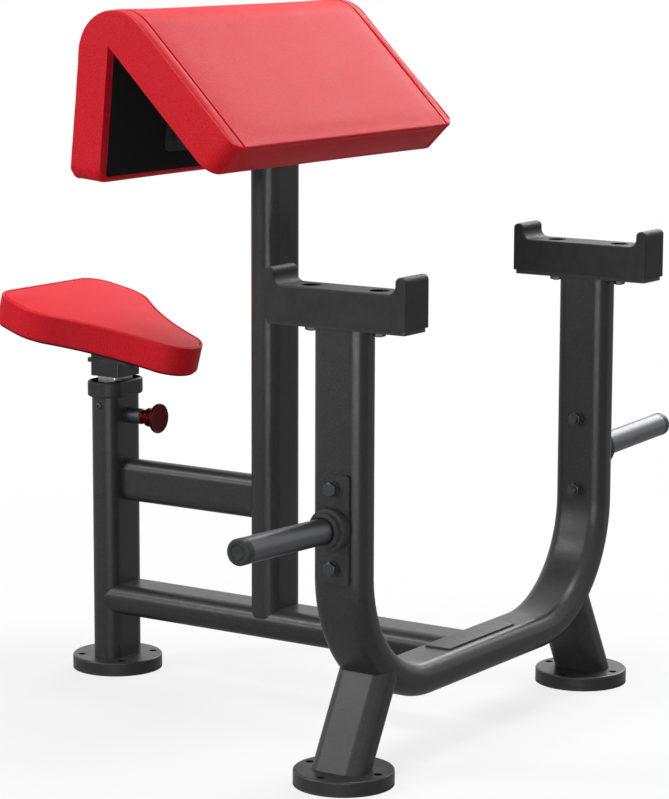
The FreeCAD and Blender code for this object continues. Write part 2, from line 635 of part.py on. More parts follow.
# Bar catches: the steel plates on the ends of the U and the urethane saddles on them.
CATCH_Y = ["-catch_bolt_span / 2", "catch_bolt_span / 2"]
right_catch_plate = keep(body("right_catch_plate", "-u_half", "front_y", "u_top"))
flat = sketch(right_catch_plate, "XY_Plane")
oval(flat, "catch_wide - 2 * catch_inset", "catch_long - 2 * catch_inset", "catch_inset")
for y in CATCH_Y:
    circle(flat, "catch_screw + 2 * screw_gap", "0", y)
pad(right_catch_plate, flat, "catch_plate")
keep(mirror(right_catch_plate, "left_catch_plate"))

CATCH_BASE = "(u_top + catch_plate)"
saddle = keep(body("right_catch_pad", "-u_half", "front_y", CATCH_BASE))
flat = sketch(saddle, "YZ_Plane")
HORN_IN = "(catch_long / 2 - horn_thick)"
polygon(flat, [("-catch_long / 2", "0"), ("catch_long / 2", "0"), ("catch_long / 2", "catch_tall"),
               (HORN_IN, "catch_tall"), (HORN_IN, "catch_floor"), ("-" + HORN_IN, "catch_floor"),
               ("-" + HORN_IN, "catch_tall"), ("-catch_long / 2", "catch_tall")])
block = pad(saddle, flat, "catch_wide", both=True)
floor_z, horn_z = num("catch_floor"), num("catch_tall")
block = fillet(saddle, block, "saddle_round",
               lambda edge: along(edge, X_AXIS) and abs(edge.CenterOfMass.z - floor_z) < 0.01)
block = fillet(saddle, block, "horn_round",
               lambda edge: along(edge, X_AXIS) and abs(edge.CenterOfMass.z - horn_z) < 0.01)
side_x = num("catch_wide") / 2
block = fillet(saddle, block, "catch_edge",
               lambda edge: abs(abs(edge.CenterOfMass.x) - side_x) < 0.01 and edge.CenterOfMass.z > 0.01)
flat = sketch(saddle, "XY_Plane")
for y in CATCH_Y:
    circle(flat, "catch_screw + 2 * screw_gap", "0", y)
pocket(saddle, flat, both=True)
flat = sketch(saddle, "XY_Plane", "catch_floor")
for y in CATCH_Y:
    circle(flat, "catch_bore", "0", y)
pocket(saddle, flat, "catch_bore_deep")
keep(mirror(saddle, "left_catch_pad"))

# Socket screws sunk in the saddles, and their nuts under the plates.
catch_screws, catch_nuts = [], []
SCREW_SEAT = "(%s + catch_floor - catch_bore_deep)" % CATCH_BASE
for y in CATCH_Y:
    spot = ("-u_half", "front_y + " + y)
    screw_top = (*spot, SCREW_SEAT + " + catch_head_tall")
    head = rod("catch_screw_head", "catch_head", "catch_head_tall", (*spot, SCREW_SEAT))
    key = rod("catch_screw_key", "catch_screw * 0.8", "catch_head_tall / 2",
              (*spot, SCREW_SEAT + " + catch_head_tall / 2"), sides=6)
    foot_z = "u_top - catch_nut_tall - small_tip"
    shank = rod("catch_screw_shank", "catch_screw", "%s - (%s)" % (SCREW_SEAT, foot_z), (*spot, foot_z))
    screw = join("catch_screw", [less("catch_screw_socket", head, key), shank])
    nut_spot = (*spot, "u_top - catch_nut_tall")
    nut = less("catch_nut", rod("catch_nut_hex", "catch_nut", "catch_nut_tall", nut_spot, sides=6),
               rod("catch_nut_bore", "catch_screw + screw_gap", "catch_nut_tall", nut_spot))
    catch_screws += [screw, mirror(screw, "catch_screw_left")]
    catch_nuts += [nut, mirror(nut, "catch_nut_left")]
group("catch_screws", catch_screws)
group("catch_nuts", catch_nuts)

# Weight pegs: a plate bolted to the outside of the U, a core welded to it, and on the core a rubber bumper,
# a stainless sleeve and an end cap.
PLATE_X = "-(u_half + tube_narrow / 2)"
peg_plate = keep(body("right_peg_plate", PLATE_X, "front_y", PEG_Z))
flat = sketch(peg_plate, "YZ_Plane")
oval(flat, "peg_plate_wide", "peg_plate_tall", "peg_plate_corner")
for z in ("-peg_bolt_span / 2", "peg_bolt_span / 2"):
    circle(flat, "peg_bolt + 2 * screw_gap", "0", z)
pad(peg_plate, flat, "peg_plate", back=True)

PEG_AT = ("-(u_half + tube_narrow / 2 + peg_plate)", "front_y", PEG_Z)
PEG_UP = {"axis": Y_AXIS, "angle": "peg_tilt"}
PEG_END = "((peg_reach - peg_plate) / cos(peg_tilt))"
SLEEVE_END = "(%s - cap_long)" % PEG_END
CORE_END = "(%s - cap_long / 2)" % PEG_END
ROOT = "-bumper_shoulder"


def face_to_plate(piece):
    """Cuts the tilted root of a peg's piece square to the upright plate."""
    flat = sketch(piece, "XZ_Plane")
    polygon(flat, [("bumper_dia * tan(peg_tilt)", "-bumper_dia"), ("bumper_dia", "-bumper_dia"),
                   ("bumper_dia", "bumper_dia"), ("-bumper_dia * tan(peg_tilt)", "bumper_dia")])
    pocket(piece, flat, both=True)
    return keep(piece)


core = face_to_plate(turned("right_peg_core", [
    (ROOT, "0"), (CORE_END, "0"), (CORE_END, "peg_core / 2"), (ROOT, "peg_core / 2")], *PEG_AT, **PEG_UP))
bumper = face_to_plate(turned("right_peg_bumper", [
    (ROOT, "peg_core / 2"), ("bumper_long", "peg_core / 2"), ("bumper_long", "bumper_step / 2 - cap_groove"),
    ("bumper_long - cap_groove", "bumper_step / 2"), ("bumper_shoulder * 2", "bumper_step / 2"),
    ("bumper_shoulder * 2", "bumper_dia / 2 - 2 * cap_groove"),
    ("bumper_shoulder * 2 - 2 * cap_groove", "bumper_dia / 2"), (ROOT, "bumper_dia / 2")], *PEG_AT, **PEG_UP))
sleeve = keep(turned("right_peg_sleeve", [
    ("bumper_long", "peg_core / 2"), (SLEEVE_END, "peg_core / 2"), (SLEEVE_END, "peg_dia / 2"),
    ("bumper_long", "peg_dia / 2")], *PEG_AT, **PEG_UP))
CAP_DISH = PEG_END + " - cap_groove"
cap = keep(turned("right_peg_cap", [
    (SLEEVE_END, "peg_core / 2"), (CORE_END, "peg_core / 2"), (CORE_END, "0"),
    (CAP_DISH, "0"), (CAP_DISH, "cap_groove"), (PEG_END, "2 * cap_groove"), (PEG_END, "peg_dia / 4"),
    (CAP_DISH, "peg_dia / 4 + cap_groove"), (PEG_END, "peg_dia / 4 + 2 * cap_groove"),
    (PEG_END, "peg_dia / 2 - cap_round"), (PEG_END + " - 0.3 * cap_round", "peg_dia / 2 - 0.3 * cap_round"),
    (PEG_END + " - cap_round", "peg_dia / 2"), (SLEEVE_END, "peg_dia / 2")], *PEG_AT, **PEG_UP))
for piece in (peg_plate, core, bumper, sleeve, cap):
    keep(mirror(piece, piece.Label.replace("right", "left")))

# Hexagon bolts through the peg plates and the U, with a washer under each head and each nut.
bolts, washers, nuts = [], [], []
TO_LEFT = {"axis": Y_AXIS, "angle": 90}
FACE_X = "(-(u_half + tube_narrow / 2 + peg_plate))"
INNER_X = "(tube_narrow / 2 - u_half)"
for z in PEG_BOLT_Z:
    def spot(x, height=z):
        return (x, "front_y", height)
    head_x = FACE_X + " - washer_thick - peg_head_tall"
    tip_x = INNER_X + " + washer_thick + peg_nut_tall + peg_bolt_end"
    head = rod("peg_bolt_head", "peg_hex", "peg_head_tall", spot(head_x), sides=6, **TO_LEFT)
    shank = rod("peg_bolt_shank", "peg_bolt", "%s - (%s)" % (tip_x, head_x), spot(head_x), **TO_LEFT)
    bolt = join("peg_bolt", [head, shank])
    nut_x = INNER_X + " + washer_thick"
    nut = less("peg_nut", rod("peg_nut_hex", "peg_hex", "peg_nut_tall", spot(nut_x), sides=6, **TO_LEFT),
               rod("peg_nut_bore", "peg_bolt + screw_gap", "peg_nut_tall", spot(nut_x), **TO_LEFT))
    rings = [less("peg_washer", rod("peg_washer_disc", "washer_dia", "washer_thick", spot(x), **TO_LEFT),
                  rod("peg_washer_bore", "peg_bolt + 2 * screw_gap", "washer_thick", spot(x), **TO_LEFT))
             for x in (FACE_X + " - washer_thick", INNER_X)]
    bolts += [bolt, mirror(bolt, "peg_bolt_left")]
    nuts += [nut, mirror(nut, "peg_nut_left")]
    for ring in rings:
        washers += [ring, mirror(ring, "peg_washer_left")]
group("peg_bolts", bolts)
group("peg_washers", washers)
group("peg_nuts", nuts)

# Collar: a moulded cap over the top of the rear upright, with a sunk top round the seat post.
SLIDE_HOLE = ("slide_wide + 2 * slide_gap", "slide_deep + 2 * slide_gap", "slide_corner + slide_gap")
COLLAR_WIDE = ("tube_wide + 2 * collar_wall", "tube_narrow + 2 * collar_wall", "tube_corner + collar_wall")
COLLAR_TALL = "(collar_skirt + collar_web + collar_rim)"
collar = keep(body("post_collar", "0", "rear_y", "rear_top - collar_skirt"))
flat = sketch(collar, "XY_Plane")
oval(flat, *COLLAR_WIDE)
shell = pad(collar, flat, COLLAR_TALL)
collar_top = num(COLLAR_TALL)
shell = fillet(collar, shell, "collar_edge",
               lambda edge: min(abs(edge.CenterOfMass.z), abs(edge.CenterOfMass.z - collar_top)) < 0.01)
flat = sketch(collar, "XY_Plane", "collar_skirt")
oval(flat, "tube_wide", "tube_narrow", "tube_corner")
pocket(collar, flat)
flat = sketch(collar, "XY_Plane", "collar_skirt + collar_web")
oval(flat, *["%s - %d * collar_rim_wide" % (side, times) for side, times in zip(COLLAR_WIDE, (2, 2, 1))])
pocket(collar, flat, back=True)
flat = sketch(collar, "XY_Plane")
oval(flat, *SLIDE_HOLE)
pocket(collar, flat, both=True)

# Guide bush: a nylon sleeve inside the top of the upright, held by a screw from each side.
TUBE_INSIDE = ("tube_wide - 2 * tube_wall", "tube_narrow - 2 * tube_wall", "tube_corner - tube_wall")
bush = keep(body("guide_bush", "0", "rear_y"))
flat = sketch(bush, "XY_Plane", "rear_top - bush_long")
oval(flat, *TUBE_INSIDE)
oval(flat, *SLIDE_HOLE)
pad(bush, flat, "bush_long")
flat = sketch(bush, "XZ_Plane")
circle(flat, "pin_dia + 2 * pin_gap", "0", PIN_Z)
pocket(bush, flat, back=True)
flat = sketch(bush, "YZ_Plane")
circle(flat, "bush_screw + 2 * screw_gap", "0", SCREW_Z)
pocket(bush, flat, both=True)
HEAD_X = "-(tube_wide / 2 + bush_screw_tall)"
SCREW_SPOT = (HEAD_X, "rear_y", SCREW_Z)
head = rod("bush_screw_head", "bush_screw_head", "bush_screw_tall", SCREW_SPOT, **TO_LEFT)
key = rod("bush_screw_key", "bush_screw * 0.6", "bush_screw_tall / 2", SCREW_SPOT, sides=6, **TO_LEFT)
shank = rod("bush_screw_shank", "bush_screw", "bush_screw_grip", ("-tube_wide / 2", "rear_y", SCREW_Z), **TO_LEFT)
bush_screw = join("bush_screw", [less("bush_screw_dome", head, key), shank])
group("bush_screws", [bush_screw, mirror(bush_screw, "bush_screw_left")])

# Spring pin: barrel welded to the front of the upright, plunger, coil spring and pull knob, all turned pieces
# about one line that points forward from the face of the upright.
PIN_AT = ("0", "rear_y - tube_narrow / 2", PIN_Z)
FORWARD = {"axis": Z_AXIS, "angle": "90"}
BARREL_IN = "(barrel_long - barrel_end)"
keep(turned("pin_barrel", [
    ("0", "barrel_bore / 2"), (BARREL_IN, "barrel_bore / 2"), (BARREL_IN, "stem_dia / 2 + pin_gap"),
    ("barrel_long", "stem_dia / 2 + pin_gap"), ("barrel_long", "barrel_dia / 2 - barrel_end / 2"),
    ("barrel_long - barrel_end / 2", "barrel_dia / 2"), ("0", "barrel_dia / 2")], *PIN_AT, **FORWARD))
NOSE = "-(tube_narrow / 2 - slide_deep / 2 + slide_wall + pin_grip)"
STEM_END = "(barrel_long + knob_long - knob_rim)"
keep(turned("pin_plunger", [
    (NOSE, "0"), (NOSE, "pin_dia / 2 - pin_tip"), (NOSE + " + pin_tip", "pin_dia / 2"),
    ("pin_gap", "pin_dia / 2"), ("pin_gap", "barrel_bore / 2 - pin_gap"),
    ("pin_gap + pin_flange", "barrel_bore / 2 - pin_gap"), ("pin_gap + pin_flange", "stem_dia / 2"),
    (STEM_END, "stem_dia / 2"), (STEM_END, "0")], *PIN_AT, **FORWARD))
KNOB_FROM = "(barrel_long + pin_gap)"
KNOB_END = "(barrel_long + knob_long)"
COLLAR_END = KNOB_FROM + " + knob_collar"
RING_FROM = COLLAR_END + " + knob_collar"
RING_END = RING_FROM + " + knob_ring_long"
FLARE_END = KNOB_END + " - knob_rim"
keep(turned("pin_knob", [
    (KNOB_FROM, "stem_dia / 2"), (KNOB_FROM, "knob_neck / 2"), (COLLAR_END, "knob_neck / 2"),
    (COLLAR_END + " + knob_edge / 2", "knob_neck / 2 - knob_groove"),
    (COLLAR_END + " + 3 * knob_edge / 2", "knob_neck / 2 - knob_groove"),
    (RING_FROM, "(knob_ring - knob_edge) / 2"), (RING_FROM + " + knob_edge / 2", "knob_ring / 2"),
    (RING_END, "knob_ring / 2"), (RING_END + " + knob_edge", "knob_ring / 2 - 3 * knob_groove / 2"),
    (FLARE_END + " - knob_flare", "knob_ring / 2 - knob_groove"), (FLARE_END, "knob_dia / 2 - knob_edge"),
    (FLARE_END + " + knob_edge", "knob_dia / 2"), (KNOB_END + " - knob_edge", "knob_dia / 2"),
    (KNOB_END, "knob_dia / 2 - knob_edge"), (KNOB_END, "0"), (STEM_END, "0"), (STEM_END, "stem_dia / 2")],
    *PIN_AT, **FORWARD))
coil = doc.addObject("Part::Helix", "pin_spring_line")
SPRING_ROOM = "(%s - pin_gap - pin_flange - spring_wire - 2 * pin_gap)" % BARREL_IN
bind(coil, "Radius", "spring_dia / 2")
bind(coil, "Height", SPRING_ROOM)
bind(coil, "Pitch", SPRING_ROOM + " / spring_turns")
bead = doc.addObject("Part::Circle", "pin_spring_wire")
bind(bead, "Radius", "spring_wire / 2")
put(bead, "spring_dia / 2", axis=X_AXIS, angle="90")
spring = keep(doc.addObject("Part::Sweep", "pin_spring"))
spring.Label = "pin_spring"
spring.Sections = [bead]
spring.Spine = (coil, ["Edge1"])
spring.Solid = True
spring.Frenet = True
put(spring, "0", "rear_y - tube_narrow / 2 - 2 * pin_gap - pin_flange - spring_wire / 2", PIN_Z,
    axis=X_AXIS, angle="90")

# Seat post: a zinc-plated tube with a row of locking holes down its front, and a plug in its lower end.
SLIDE_TOP = "(rear_top + collar_web + collar_rim + block_gap + block_tall - slide_wall)"
SLIDE_FOOT = "(%s - slide_long)" % SLIDE_TOP
slide = keep(body("seat_post", "0", "rear_y"))
flat = sketch(slide, "XY_Plane", SLIDE_FOOT)
tube_ring(flat, "slide_wide", "slide_deep", "slide_corner", "slide_wall")
pad(slide, flat, "slide_long")
flat = sketch(slide, "XZ_Plane")
for i in range(int(num("hole_count"))):
    circle(flat, "pin_dia + 2 * pin_gap", "0", "%s - %d * hole_pitch" % (PIN_Z, i))
pocket(slide, flat, back=True)
plug = keep(body("seat_post_plug", "0", "rear_y", SLIDE_FOOT))
flat = sketch(plug, "XY_Plane")
oval(flat, "slide_wide", "slide_deep", "slide_corner")
pad(plug, flat, "plug_flange", back=True)
flat = sketch(plug, "XY_Plane")
oval(flat, "slide_wide - 2 * slide_wall", "slide_deep - 2 * slide_wall", "slide_corner - slide_wall")
pad(plug, flat, "plug_deep")

# Seat bracket: a block over the top of the post with a ledge, its top cut to the seat's tilt.
SEAT_UNDER = "(rear_top + seat_rise)"
BLOCK_FOOT = "(rear_top + collar_web + collar_rim + block_gap)"
BLOCK = ("block_wide", "block_deep", "block_corner")
bracket = keep(body("seat_bracket", "0", "rear_y"))
flat = sketch(bracket, "XY_Plane", BLOCK_FOOT)
oval(flat, *BLOCK)
pad(bracket, flat, "seat_rise + block_deep")
flat = sketch(bracket, "XY_Plane", BLOCK_FOOT + " + block_tall")
oval(flat, "block_wide + 2 * ledge_out", "block_deep + 2 * ledge_out", "block_corner")
pad(bracket, flat, "ledge_tall")
flat = sketch(bracket, "YZ_Plane")
TILT_LOW = "%s - seat_plate / cos(seat_tilt) - block_deep * tan(seat_tilt)" % SEAT_UNDER
TILT_HIGH = "%s - seat_plate / cos(seat_tilt) + block_deep * tan(seat_tilt)" % SEAT_UNDER
CUT_TOP = SEAT_UNDER + " + 3 * block_deep"
polygon(flat, [("-block_deep", TILT_LOW), ("block_deep", TILT_HIGH),
               ("block_deep", CUT_TOP), ("-block_deep", CUT_TOP)])
pocket(bracket, flat, both=True)
flat = sketch(bracket, "XY_Plane", SLIDE_TOP)
oval(flat, "slide_wide", "slide_deep", "slide_corner")
pocket(bracket, flat)

# Seat plate, board and cushion lie in the tilted frame of the seat, with its origin over the post.
SEAT_FRAME = (("0", "rear_y", SEAT_UNDER), {"axis": X_AXIS, "angle": "seat_tilt"})
SEAT_BOLTS = [(x + "seat_bolt_x", y + "seat_bolt_y") for x in ("-", "") for y in ("-", "")]
plate_with_holes("seat_plate", SEAT_FRAME, ("seat_plate_wide", "seat_plate_long", "seat_plate_corner"),
                 SEAT_BOLTS, "-seat_plate", "seat_plate")
hex_screws("seat_screws", SEAT_BOLTS, "-seat_plate", "seat_plate + seat_board - small_tip", False, SEAT_FRAME)


def seat_outline(grow, z):
    """The seat's outline, moved out by grow: rear edge, corner, side, shoulder, waist and nose."""
    rear = num("seat_rear") + grow
    corner = num("seat_corner") + grow
    shoulder = num("seat_shoulder") + grow
    waist = num("seat_waist") - grow
    nose = num("seat_nose") + grow
    corner_at = FreeCAD.Vector(num("seat_rear_half - seat_corner"), num("seat_rear - seat_corner"), z)
    shoulder_at = FreeCAD.Vector(num("seat_half - seat_shoulder"), num("seat_shoulder_y"), z)
    nose_at = FreeCAD.Vector(0, num("seat_rear - seat_long + seat_nose"), z)

    to_corner = corner_at - shoulder_at
    lean = math.atan2(-to_corner.x, to_corner.y) + math.asin((shoulder - corner) / to_corner.Length)
    side_out = FreeCAD.Vector(math.cos(lean), math.sin(lean), 0)

    down = nose_at - shoulder_at
    far, near = num("seat_shoulder + seat_waist"), num("seat_nose + seat_waist")
    share = (far ** 2 - near ** 2 + down.Length ** 2) / (2 * down.Length)
    down.normalize()
    across = FreeCAD.Vector(-down.y, down.x, 0)
    waist_at = shoulder_at + down * share + across * math.sqrt(far ** 2 - share ** 2)

    def on(centre, radius, toward):
        return centre + FreeCAD.Vector(toward).normalize() * radius

    def between(centre, radius, first, second):
        return on(centre, radius, (first - centre) + (second - centre))

    half = [FreeCAD.Vector(corner_at.x, rear, z), on(corner_at, corner, side_out),
            on(shoulder_at, shoulder, side_out), on(shoulder_at, shoulder, waist_at - shoulder_at),
            on(nose_at, nose, waist_at - nose_at)]
    arcs = {0: between(corner_at, corner, half[0], half[1]),
            2: between(shoulder_at, shoulder, half[2], half[3]),
            3: between(waist_at, waist, half[3], half[4]),
            4: FreeCAD.Vector(0, nose_at.y - nose, z)}

    def flipped(spot):
        return FreeCAD.Vector(-spot.x, spot.y, spot.z)

    points = half + [flipped(spot) for spot in reversed(half)]
    last = len(points) - 1
    mirrored = {last - 1 - i: flipped(spot) for i, spot in arcs.items() if i != 4}
    return wire(points, {**arcs, **mirrored})


seat_board = keep(doc.addObject("Part::Feature", "seat_board"))
seat_board.Label = "seat_board"
panel = Part.Face(seat_outline(-num("seat_inset"), 0)).extrude(FreeCAD.Vector(0, 0, num("seat_board")))
for x, y in SEAT_BOLTS:
    hole = Part.makeCylinder(num(SCREW_HOLE) / 2, num("seat_board"), FreeCAD.Vector(num(x), num(y), 0))
    panel = panel.cut(hole)
seat_board.Shape = panel
put(seat_board, *SEAT_FRAME[0], **SEAT_FRAME[1])

# Seat cushion: foam in vinyl, its sides a little full, its top edge rolled and its top crowned.
seat_cushion = keep(doc.addObject("Part::Feature", "seat_cushion"))
seat_cushion.Label = "seat_cushion"
low, high = num("seat_reveal"), num("seat_thick") - num("seat_crown")
roll, crown, bulge = num("seat_roll"), num("seat_crown"), num("seat_bulge")
layers = [(-bulge, low), (0, low + (high - low) * num("seat_belly")), (0, high - roll)]
for turn in (math.radians(35), math.radians(65)):
    layers.append((-roll * (1 - math.cos(turn)), high - roll + roll * math.sin(turn)))
reach = num("seat_nose * seat_crown_reach")
layers += [(-roll - share * reach, high + crown * math.sqrt(share)) for share in (0, 0.3, 1)]
foam = Part.makeLoft([seat_outline(grow, z) for grow, z in layers], True, True)
seat_cushion.Shape = foam.cut(Part.Face(seat_outline(-num("seat_inset"), 0)).extrude(
    FreeCAD.Vector(0, 0, num("seat_board"))))
put(seat_cushion, *SEAT_FRAME[0], **SEAT_FRAME[1])

doc.recompute()
for thing in doc.Objects:
    if {"Invalid", "Error"} & set(thing.State):
        raise RuntimeError("%s failed: %s" % (thing.Label, thing.State))
for node in nodes:
    if node.Shape.isNull() or not node.Shape.isValid():
        raise RuntimeError("%s has no valid shape" % node.Label)
os.makedirs("parts", exist_ok=True)
for node in nodes:
    node.Shape.exportStep("parts/%s.step" % node.Label)
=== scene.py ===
import math

import bmesh
import bpy
import numpy as np
from mathutils import Matrix, Vector
from mathutils.kdtree import KDTree


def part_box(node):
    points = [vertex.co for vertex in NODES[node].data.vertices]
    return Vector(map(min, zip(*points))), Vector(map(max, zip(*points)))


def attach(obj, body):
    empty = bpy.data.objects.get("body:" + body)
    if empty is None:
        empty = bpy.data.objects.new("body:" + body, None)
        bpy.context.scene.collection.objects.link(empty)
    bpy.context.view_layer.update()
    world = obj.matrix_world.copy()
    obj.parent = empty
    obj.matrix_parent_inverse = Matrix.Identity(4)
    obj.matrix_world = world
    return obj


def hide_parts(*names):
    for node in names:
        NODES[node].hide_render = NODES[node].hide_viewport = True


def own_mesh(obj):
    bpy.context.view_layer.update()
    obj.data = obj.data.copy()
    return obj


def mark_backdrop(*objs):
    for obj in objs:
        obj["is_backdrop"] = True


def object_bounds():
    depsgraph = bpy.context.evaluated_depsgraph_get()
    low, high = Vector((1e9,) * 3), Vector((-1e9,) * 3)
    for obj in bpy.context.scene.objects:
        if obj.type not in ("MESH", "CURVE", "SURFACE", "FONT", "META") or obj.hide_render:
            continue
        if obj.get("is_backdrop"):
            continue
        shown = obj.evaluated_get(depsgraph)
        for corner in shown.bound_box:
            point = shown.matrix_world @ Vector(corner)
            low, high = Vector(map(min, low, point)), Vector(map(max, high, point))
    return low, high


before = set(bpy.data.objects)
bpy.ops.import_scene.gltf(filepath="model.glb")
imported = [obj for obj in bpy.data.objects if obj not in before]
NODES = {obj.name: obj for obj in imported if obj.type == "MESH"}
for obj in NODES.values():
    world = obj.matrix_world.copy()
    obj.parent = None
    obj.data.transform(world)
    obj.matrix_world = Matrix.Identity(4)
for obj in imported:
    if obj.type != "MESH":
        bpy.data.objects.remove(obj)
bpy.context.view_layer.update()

# Feet: three discs cut from thick steel plate, welded under the tubes and powder coated with them, each with
# four holes for floor anchors. A thin disc of black rubber lies under each one.
MM = 0.001


def linear(colour):
    """An sRGB hex colour as linear RGBA."""
    parts = [int(colour[i:i + 2], 16) / 255 for i in (1, 3, 5)]
    return [c / 12.92 if c <= 0.04045 else ((c + 0.055) / 1.055) ** 2.4 for c in parts] + [1.0]


def add(tree, kind, inputs=(), **settings):
    """Adds a node with its settings. Each input, by name or number, gets a value or another node's socket."""
    made = tree.nodes.new(kind)
    for name, value in settings.items():
        setattr(made, name, value)
    for name, value in dict(inputs).items():
        if isinstance(value, bpy.types.NodeSocket):
            tree.links.new(value, made.inputs[name])
        else:
            made.inputs[name].default_value = value
    return made


def surface(name, constants):
    """Starts a material: its tree, its shader with the constants set, and the object's own coordinates."""
    made = bpy.data.materials.new(name)
    made.use_nodes = True
    tree = made.node_tree
    shader = tree.nodes["Principled BSDF"]
    for socket, value in constants.items():
        shader.inputs[socket].default_value = value
    return made, tree, shader, add(tree, "ShaderNodeTexCoord").outputs["Object"]


def dress(material, *names):
    """Gives CAD nodes their finish."""
    for name in names:
        for slot in NODES[name].material_slots:
            slot.material = material


def patterned(tree, shader, tone, roughness=None, relief=None, span=(0.0, 1.0)):
    """Joins patterns to a shader: one takes its colour from dark to light, one its roughness from smooth to dull
    over a span of the pattern's values, and one raises bumps of a strength and depth."""
    pattern, dark, light = tone
    mixed = add(tree, "ShaderNodeMix", {0: pattern, 6: linear(dark), 7: linear(light)}, data_type="RGBA")
    tree.links.new(mixed.outputs[2], shader.inputs["Base Color"])
    if roughness:
        pattern, smooth, dull = roughness
        spread = add(tree, "ShaderNodeMapRange", {"Value": pattern, "From Min": span[0], "From Max": span[1],
                                                  "To Min": smooth, "To Max": dull})
        tree.links.new(spread.outputs[0], shader.inputs["Roughness"])
    if relief:
        pattern, strength, depth = relief
        bumps = add(tree, "ShaderNodeBump", {"Height": pattern, "Strength": strength, "Distance": depth})
        tree.links.new(bumps.outputs["Normal"], shader.inputs["Normal"])


# Polyester powder baked on to a black film with a fine sand texture: a dull black with a broad, soft sheen, a slow
# ripple and a faint sparkle of grain. The real grain of about 0.5 mm is drawn at 1.5 mm, so that it shows.
COAT_GRAIN, COAT_RIPPLE = 1.5 * MM, 14 * MM
NOISE_SPAN = (0.3, 0.7)  # where nearly all of a noise's values lie
powder_coat, tree, shader, at = surface("black_powder_coated_steel", {"IOR": 1.5, "Specular IOR Level": 0.3})
grain = add(tree, "ShaderNodeTexNoise", {"Vector": at, "Scale": 1 / COAT_GRAIN, "Detail": 2.0}).outputs["Fac"]
ripple = add(tree, "ShaderNodeTexNoise", {"Vector": at, "Scale": 1 / COAT_RIPPLE, "Detail": 1.0}).outputs["Fac"]
patterned(tree, shader, tone=(grain, "#0C0C0D", "#464647"), roughness=(ripple, 0.3, 0.36),
          relief=(grain, 0.2, 0.3 * MM), span=NOISE_SPAN)

# Moulded natural rubber: flat black, nearly no shine, with a faint bloom in patches a few millimetres wide.
RUBBER_BLOOM = 6 * MM
rubber, tree, shader, at = surface("moulded_black_rubber", {"IOR": 1.5, "Specular IOR Level": 0.12})
bloom = add(tree, "ShaderNodeTexNoise", {"Vector": at, "Scale": 1 / RUBBER_BLOOM, "Detail": 3.0}).outputs["Fac"]
patterned(tree, shader, tone=(bloom, "#323233", "#4E4E4F"), roughness=(bloom, 0.5, 0.75))

dress(powder_coat, "rear_foot_plate", "right_foot_plate", "left_foot_plate")
dress(rubber, "rear_foot_pad", "right_foot_pad", "left_foot_pad")

# Frame tubes: flat-sided oval steel tube with a 3 mm wall. The rear upright stands on its foot, the lower beam and
# a smaller middle brace run forward from it, the post is coped over the beam and the front legs to the U.
dress(powder_coat, "rear_upright", "lower_beam", "mid_brace", "centre_post", "right_leg", "left_leg")

# U frame: one length of the same tube, wide side front to back, bent twice round a former and welded to the
# legs and the lower beam. Its line is a square U, rounded to the bend's radius, with the tube's section along it.
U_HALF, U_TOP, U_BEAM, U_FRONT = 357.5 * MM, 675 * MM, 123.5 * MM, -365.2 * MM
TUBE_NARROW, TUBE_WIDE, TUBE_WALL = 50.8 * MM, 88.9 * MM, 3 * MM
bent_tube = bpy.data.node_groups.new("bent_flat_oval_tube", "GeometryNodeTree")


def sockets(tree, *sizes):
    """Gives a tree its geometry in and out, its named sizes and its material; returns what it is given."""
    tree.interface.new_socket("Geometry", in_out="INPUT", socket_type="NodeSocketGeometry")
    for name in sizes:
        tree.interface.new_socket(name, in_out="INPUT", socket_type="NodeSocketFloat")
    tree.interface.new_socket("Material", in_out="INPUT", socket_type="NodeSocketMaterial")
    tree.interface.new_socket("Geometry", in_out="OUTPUT", socket_type="NodeSocketGeometry")
    return add(tree, "NodeGroupInput").outputs


def close_tree(tree, geometry, material):
    """Ends a tree in real, smooth-shaded faces of one material."""
    real = add(tree, "GeometryNodeRealizeInstances", {"Geometry": geometry})
    smooth = add(tree, "GeometryNodeSetShadeSmooth", {"Geometry": real.outputs[0]})
    painted = add(tree, "GeometryNodeSetMaterial", {"Geometry": smooth.outputs[0], "Material": material})
    add(tree, "NodeGroupOutput", {0: painted.outputs[0]})


def grown(name, mesh, tree, sizes, crisp=None, wall=None):
    """The plain mesh that a tree makes from a mesh, with its named sizes; wall thickens it inwards."""
    seed = bpy.data.objects.new(name, mesh)
    bpy.context.scene.collection.objects.link(seed)
    modifier = seed.modifiers.new(tree.name, "NODES")
    modifier.node_group = tree
    for item in tree.interface.items_tree:
        if item.in_out == "INPUT" and item.name in sizes:
            modifier[item.identifier] = sizes[item.name]
    if wall:
        seed.modifiers.new("wall", "SOLIDIFY").thickness = wall
    bpy.context.view_layer.update()
    made = bpy.data.meshes.new_from_object(seed.evaluated_get(bpy.context.evaluated_depsgraph_get()))
    made.name = name
    bpy.data.objects.remove(seed)
    if crisp:
        made.set_sharp_from_angle(angle=math.radians(crisp))
    return made


def fit(name, mesh, material, body, slot, *stands_for):
    """Puts a finished mesh in the scene as a piece that rides on a body and stands for CAD nodes."""
    made = bpy.data.objects.new(name, mesh)
    bpy.context.scene.collection.objects.link(made)
    mesh.materials.clear()
    mesh.materials.append(material)
    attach(made, body)
    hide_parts(*stands_for)
    return made


